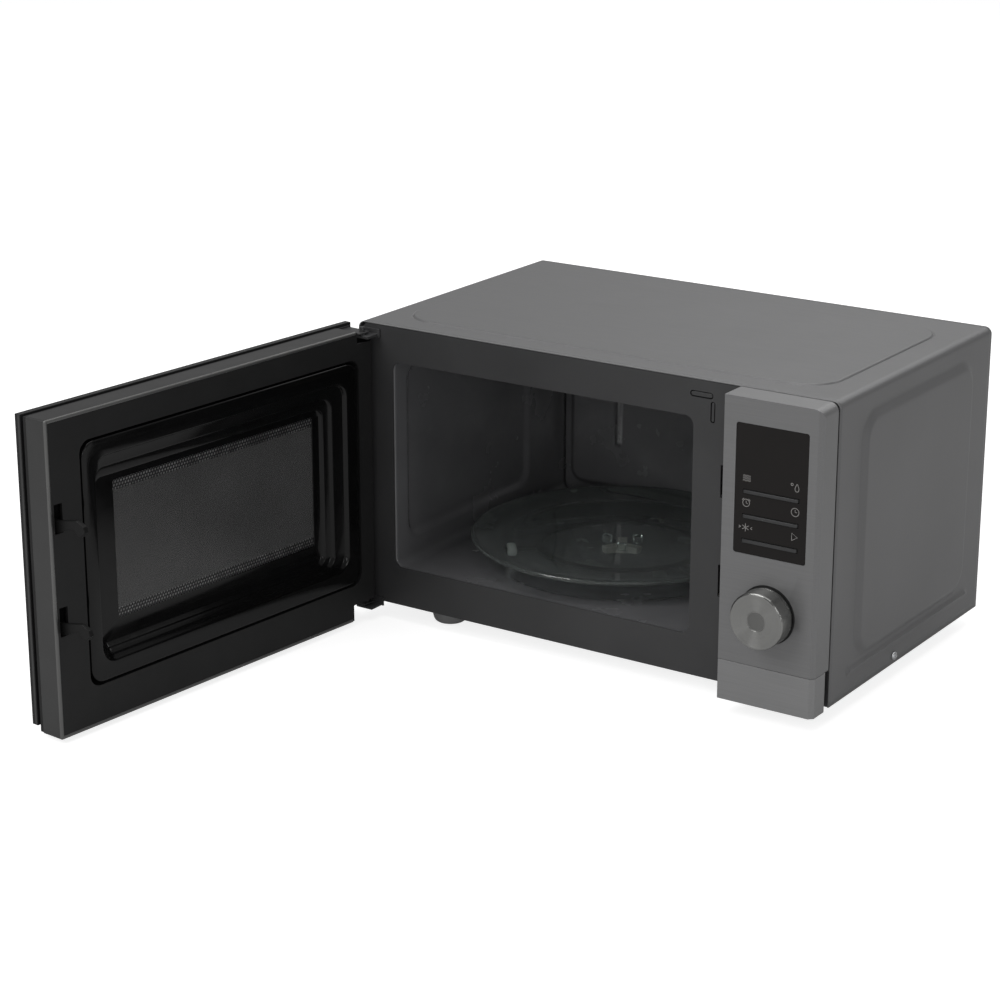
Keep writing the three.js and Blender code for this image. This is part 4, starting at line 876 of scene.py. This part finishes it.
# ---------- door ----------
def choke_cover():
    """Gloss moulding round the window: a flat border, then three steps down to the window's edge on the hinge
    side and the top, one slope at the bottom and a short wall on the free side. Each row is a depth, then
    how far in it lies from the left, right, bottom and top, then its corner radius."""
    x0, x1, z0, z1 = cover
    face = door_inner + 0.2

    def ring(l, r, b, t, radius, depth):
        return (x0 + l, x1 - r, z0 + b, z1 - t, radius, face - depth)

    steps = [
        (0, 13.6, 12.4, 14.6, 14.6, 14), (0.35, 15, 13.6, 15.6, 15.6, 13.4), (1.2, 15.7, 14.1, 16.6, 16.2, 13),
        (2.7, 16.2, 14.9, 18.6, 16.7, 12.6), (3.2, 17, 15.2, 19.6, 17.4, 12.2), (3.3, 28, 15.5, 20, 24.6, 11),
        (3.7, 29, 15.8, 20.6, 25.4, 10.6), (5.6, 29.7, 16.8, 22.8, 26.1, 10.2),
             (6.3, 30.6, 17.2, 23.6, 26.8, 9.8),
        (6.4, 36.2, 17.5, 24, 33.2, 8.6), (6.8, 37, 17.8, 24.5, 33.9, 8.2), (8.9, 37.8, 18.8, 26.8, 34.6, 7.6),
        (9.6, 38.6, 19.4, 27.8, 35.3, 7), (9.7, 46, 39, 42.8, 40.3, 2.2), (9.9, 46.2, 39.2, 43, 40.5, 2),
             (10.1, 46.2, 39.2, 43, 40.5, 2),
    ]
    show = [ring(e, e, e, e, r, d) for e, r, d in ((1.9, 12, 9.9), (1.6, 12.4, 1.6), (1.8, 12.2, 0.7),
                                                   (2.3, 11.6, 0.16), (3.1, 11, 0))]
    show += [ring(l, r, b, t, radius, depth) for depth, l, r, b, t, radius in steps]
    return dress(lofted("choke_cover", show, capped=False, wrapped=True, place=hung), "door", gloss_black,
                 ("door_choke_cover",), 40)


def window_screen():
    """Punched steel screen behind the door's window, with staggered round holes."""
    low, high = (sight[0] - 1.6, sight[1] + 1.6), (sight[2] - 1.6, sight[3] + 1.6)
    obj = perforated("window_screen", low, high, window_plane + 0.4, 0.5, 2.9, 2.55, 2.15, hung)
    return dress(obj, "door", screen_metal, ("door_inner_sheet",), 60)


def window_film():
    """Thin film on the screen, short of its outer rows at the top and bottom; its grey tone is painted sheen, the
    film's reflection of the room.
    """
    low, high = (sight[0] + 0.4, sight[1] - 0.4), (sight[2] + 8, sight[3] - 8)
    rings = [(*low, *high, 0.5, window_plane + 0.95), (*low, *high, 0.5, window_plane + 1.15)]
    return dress(lofted("window_film", rings, place=hung), "door", sheen_film)


def screen_tape(name, z0, z1):
    """Strip of foil behind the outer rows of the screen's holes."""
    rings = [(sight[0] - 1, sight[1] + 1, z0, z1, 0.5, window_plane + 0.05),
             (sight[0] - 1, sight[1] + 1, z0, z1, 0.5, window_plane + 0.3)]
    return dress(lofted(name, rings, place=hung), "door", foil_tape)


def edge_sweep(name, section, finish):
    """Section points (how far in from the door's rim, y) swept along the top, the free end and the bottom, with
    small round corners and flat ends."""
    x1, z0, z1 = door_length - 0.05, frame_bottom - 0.7, door_top - 0.05
    turn = np.linspace(0, np.pi / 2, 6)
    loops = []
    for d, y in section:
        r = max(1.6 - d, 0.05)
        upper = np.stack([x1 - d - r + r * np.sin(turn), z1 - d - r + r * np.cos(turn)], -1)
        lower = np.stack([x1 - d - r + r * np.cos(turn), z0 + d + r - r * np.sin(turn)], -1)
        path = np.concatenate([[(16.0, z1 - d)], upper, lower, [(25.0, z0 + d)]])
        loops.append(np.stack([path[:, 0], np.full(len(path), y), path[:, 1]], -1))
    obj = surface(name, hung(np.stack(loops, 1)), close_columns=True, capped=True)
    return dress(obj, "door", finish)


def edge_trim():
    """Metal-look band on the door's rim, and the rounded lip that turns over the inner face, in a lighter metal
    that paints the highlight along its round.
    """
    edge_sweep("door_edge_trim", [(0.95, -13.2), (0.3, -13.2), (0, -12.8), (0, door_inner - 1.2),
                                  (0.8, door_inner - 1.2)], trim_metal)
    edge_sweep("door_edge_lip", [(0.7, door_inner - 1.15), (0, door_inner - 1.15), (-0.1, door_inner - 0.7),
                                 (0.1, door_inner - 0.1), (0.6, door_inner + 0.35),
                                 (1.4, door_inner + 0.5), (2.4, door_inner + 0.35), (2.7, door_inner + 0.05),
                                 (2.7, door_inner - 0.1)], lip_highlight_metal)


def rim_band():
    """Grey line let into the front panel's rim: a flat strip 0.15 mm proud, carried right round."""
    x0, x1, z0, z1 = -hinge_edge, door_length, door_bottom, door_top
    section = [(0.3, -21.6), (-0.15, -21.6), (-0.15, -19.4), (0.3, -19.4)]
    rings = [(x0 + d, x1 - d, z0 + d, z1 - d, 0.8, y) for d, y in section]
    return dress(lofted("door_rim_band", rings, wrapped=True, place=hung), "door", trim_metal)


def front_skin():
    """Painted sheet over the door's front panel, with an opening for the glass."""
    x0, x1, z0, z1 = -hinge_edge, door_length, door_bottom, door_top
    hole = (24.2, door_length - 30.2, door_bottom + 34.7, door_top - 34.2)
    rings = [(x0 + 0.3, x1 - 0.3, z0 + 0.3, z1 - 0.3, 0.8, door_outer - 0.02),
             (x0 + 0.2, x1 - 0.2, z0 + 0.2, z1 - 0.2, 0.9, door_outer - 0.3),
             (x0 + 0.6, x1 - 0.6, z0 + 0.6, z1 - 0.6, 0.9, door_outer - 0.6),
             (*(h + e for h, e in zip(hole, (-0.4, 0.4, -0.4, 0.4))), 4.4, door_outer - 0.6),
             (*hole, 4, door_outer - 0.3), (*hole, 4, door_outer - 0.02)]
    return dress(lofted("door_front_skin", rings, wrapped=True, place=hung), "door", panel_paint)


def glass_border():
    """Black print round the edge of the front glass, on its inner face."""
    hole = (28.2, door_length - 34.2, door_bottom + 38.7, door_top - 38.2)
    inner = (hole[0] + 14, hole[1] - 14, hole[2] + 14, hole[3] - 14)
    y = door_outer + 3.45
    rings = [(*hole, 2, y), (*hole, 2, y + 0.12), (*inner, 6, y + 0.12), (*inner, 6, y)]
    return dress(lofted("glass_border", rings, wrapped=True, place=hung), "door", pane_black)


choke_cover()
window_screen()
window_film()
screen_tape("screen_tape_top", sight[3] - 8.5, sight[3] + 0.5)
screen_tape("screen_tape_bottom", sight[2] - 0.5, sight[2] + 8.5)
softened("door_frame", dark_plastic, 0.35)
softened("door_front_panel", dark_plastic, 0.4, 2, 40)
edge_trim()
rim_band()
front_skin()
glass_border()
softened("door_front_glass", smoked_glass, 0.3)
softened("door_latch_hooks", hook_black, 0.4)
softened("door_steel_panel", frame_paint, 0.2, 1)
for node in ("door_latch_spring", "door_button_spring"):
    kept(node, zinc_steel)

# ---------- pieces inside the case ----------
inside = {
    "zinc_steel": ("waveguide", "magnetron", "high_voltage_capacitor", "cooling_fan_motor", "turntable_motor",
                   "rotary_encoder"),
    "white": ("cooling_fan_shroud", "cooling_fan_blade", "interlock_bracket", "release_slider"),
    "dark": ("cavity_thermal_cutout", "high_voltage_diode", "display_module", "interlock_switch_monitor",
             "interlock_switch_secondary", "interlock_switch_primary"),
    "board": ("noise_filter", "control_board"),
    "mica": ("waveguide_cover",),
    "lamp": ("cavity_lamp",),
    "copper": ("high_voltage_transformer",),
}
inside_finish = {"zinc_steel": zinc_steel, "white": white_plastic, "dark": dark_plastic, "board": circuit_board,
                 "mica": mica, "lamp": lamp_glass, "copper": copper_winding}
for kind, nodes in inside.items():
    for node in nodes:
        kept(node, inside_finish[kind])


# ---------- studio ----------
def seen_or_given(nodes, link, seen, given):
    """One level for what is looked at directly and another for the light it gives."""
    ray = nodes.new("ShaderNodeLightPath")
    level = nodes.new("ShaderNodeMix")
    level.inputs["A"].default_value = given
    level.inputs["B"].default_value = seen
    link(ray.outputs["Is Camera Ray"], level.inputs["Factor"])
    return level.outputs["Result"]


def studio_floor():
    """White floor: a wide flat disc under the feet, which shows white and throws back a softer light."""
    r = np.array([0.01, 3000.0, 9000.0])
    a = np.arange(64) * 2 * np.pi / 64
    z = span("foot_front_left")[0][2]
    points = np.stack([r[:, None] * np.cos(a), r[:, None] * np.sin(a), np.full((3, 64), z)], -1)
    obj = surface("studio_floor", points, close_columns=True)
    faces_towards(obj, (0, 0, 5000))
    floor = Finish("studio_floor", (0.5, 0.5, 0.5), 0.9, Emission_Color=(1, 1, 1, 1))
    floor.tint(floor.noise(2, 2), 0.99, 1.0)
    floor.link(seen_or_given(floor.nodes, floor.link, 0.8, 0.08), floor.shader.inputs["Emission Strength"])
    obj.data.materials.append(floor.material)
    obj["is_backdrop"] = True


def softbox(name, place, target, size, power):
    """Rectangular area light aimed at a point."""
    data = bpy.data.lights.new(name, "AREA")
    data.shape = "RECTANGLE"
    data.size, data.size_y = size
    data.energy = power
    light = bpy.data.objects.new(name, data)
    light.location = place
    light.rotation_euler = (Vector(target) - Vector(place)).to_track_quat("-Z", "Y").to_euler()
    bpy.context.scene.collection.objects.link(light)


def pale_world(seen, given):
    """White surround: seen at one brightness and lighting the object at another."""
    world = bpy.data.worlds.new("studio")
    bpy.context.scene.world = world
    world.use_nodes = True
    nodes, link = world.node_tree.nodes, world.node_tree.links.new
    link(seen_or_given(nodes, link, seen, given), nodes["Background"].inputs["Strength"])
    nodes["Background"].inputs["Color"].default_value = (1, 1, 1, 1)


def camera():
    """Long-lens camera to the right of the front and a little above."""
    data = bpy.data.cameras.new("camera")
    data.lens, data.sensor_width = 95.03, 36
    data.clip_start, data.clip_end = 0.05, 100
    cam = bpy.data.objects.new("camera", data)
    target = Vector((-0.0804, -0.134, 0.1113))
    azimuth, elevation, distance = np.radians(34.01), np.radians(18.04), 2.128
    away = Vector((np.sin(azimuth) * np.cos(elevation), -np.cos(azimuth) * np.cos(elevation),
                   np.sin(elevation)))
    cam.location = target + away * distance
    cam.rotation_euler = (-away).to_track_quat("-Z", "Y").to_euler()
    bpy.context.scene.collection.objects.link(cam)
    bpy.context.scene.camera = cam


studio_floor()
pale_world(1.0, 0.26)
softbox("key_softbox", (-1.2, -2.4, 2.2), (0, -0.1, 0.1), (1.8, 1.8), 45)
softbox("back_softbox", (0.0, 2.6, 2.2), (0, 0, 0.1), (3.4, 1.4), 20)
softbox("top_softbox", (0.0, 0.0, 3.0), (0, 0, 0.1), (2.6, 2.6), 45)
softbox("front_softbox", (1.3, -2.3, 0.8), (-0.1, -0.1, 0.1), (0.9, 0.7), 7)
softbox("side_softbox", (2.6, -0.6, 0.55), (-0.1, -0.12, 0.1), (0.2, 0.8), 4)
bpy.context.scene.view_settings.view_transform = "Standard"
camera()

low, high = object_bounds()
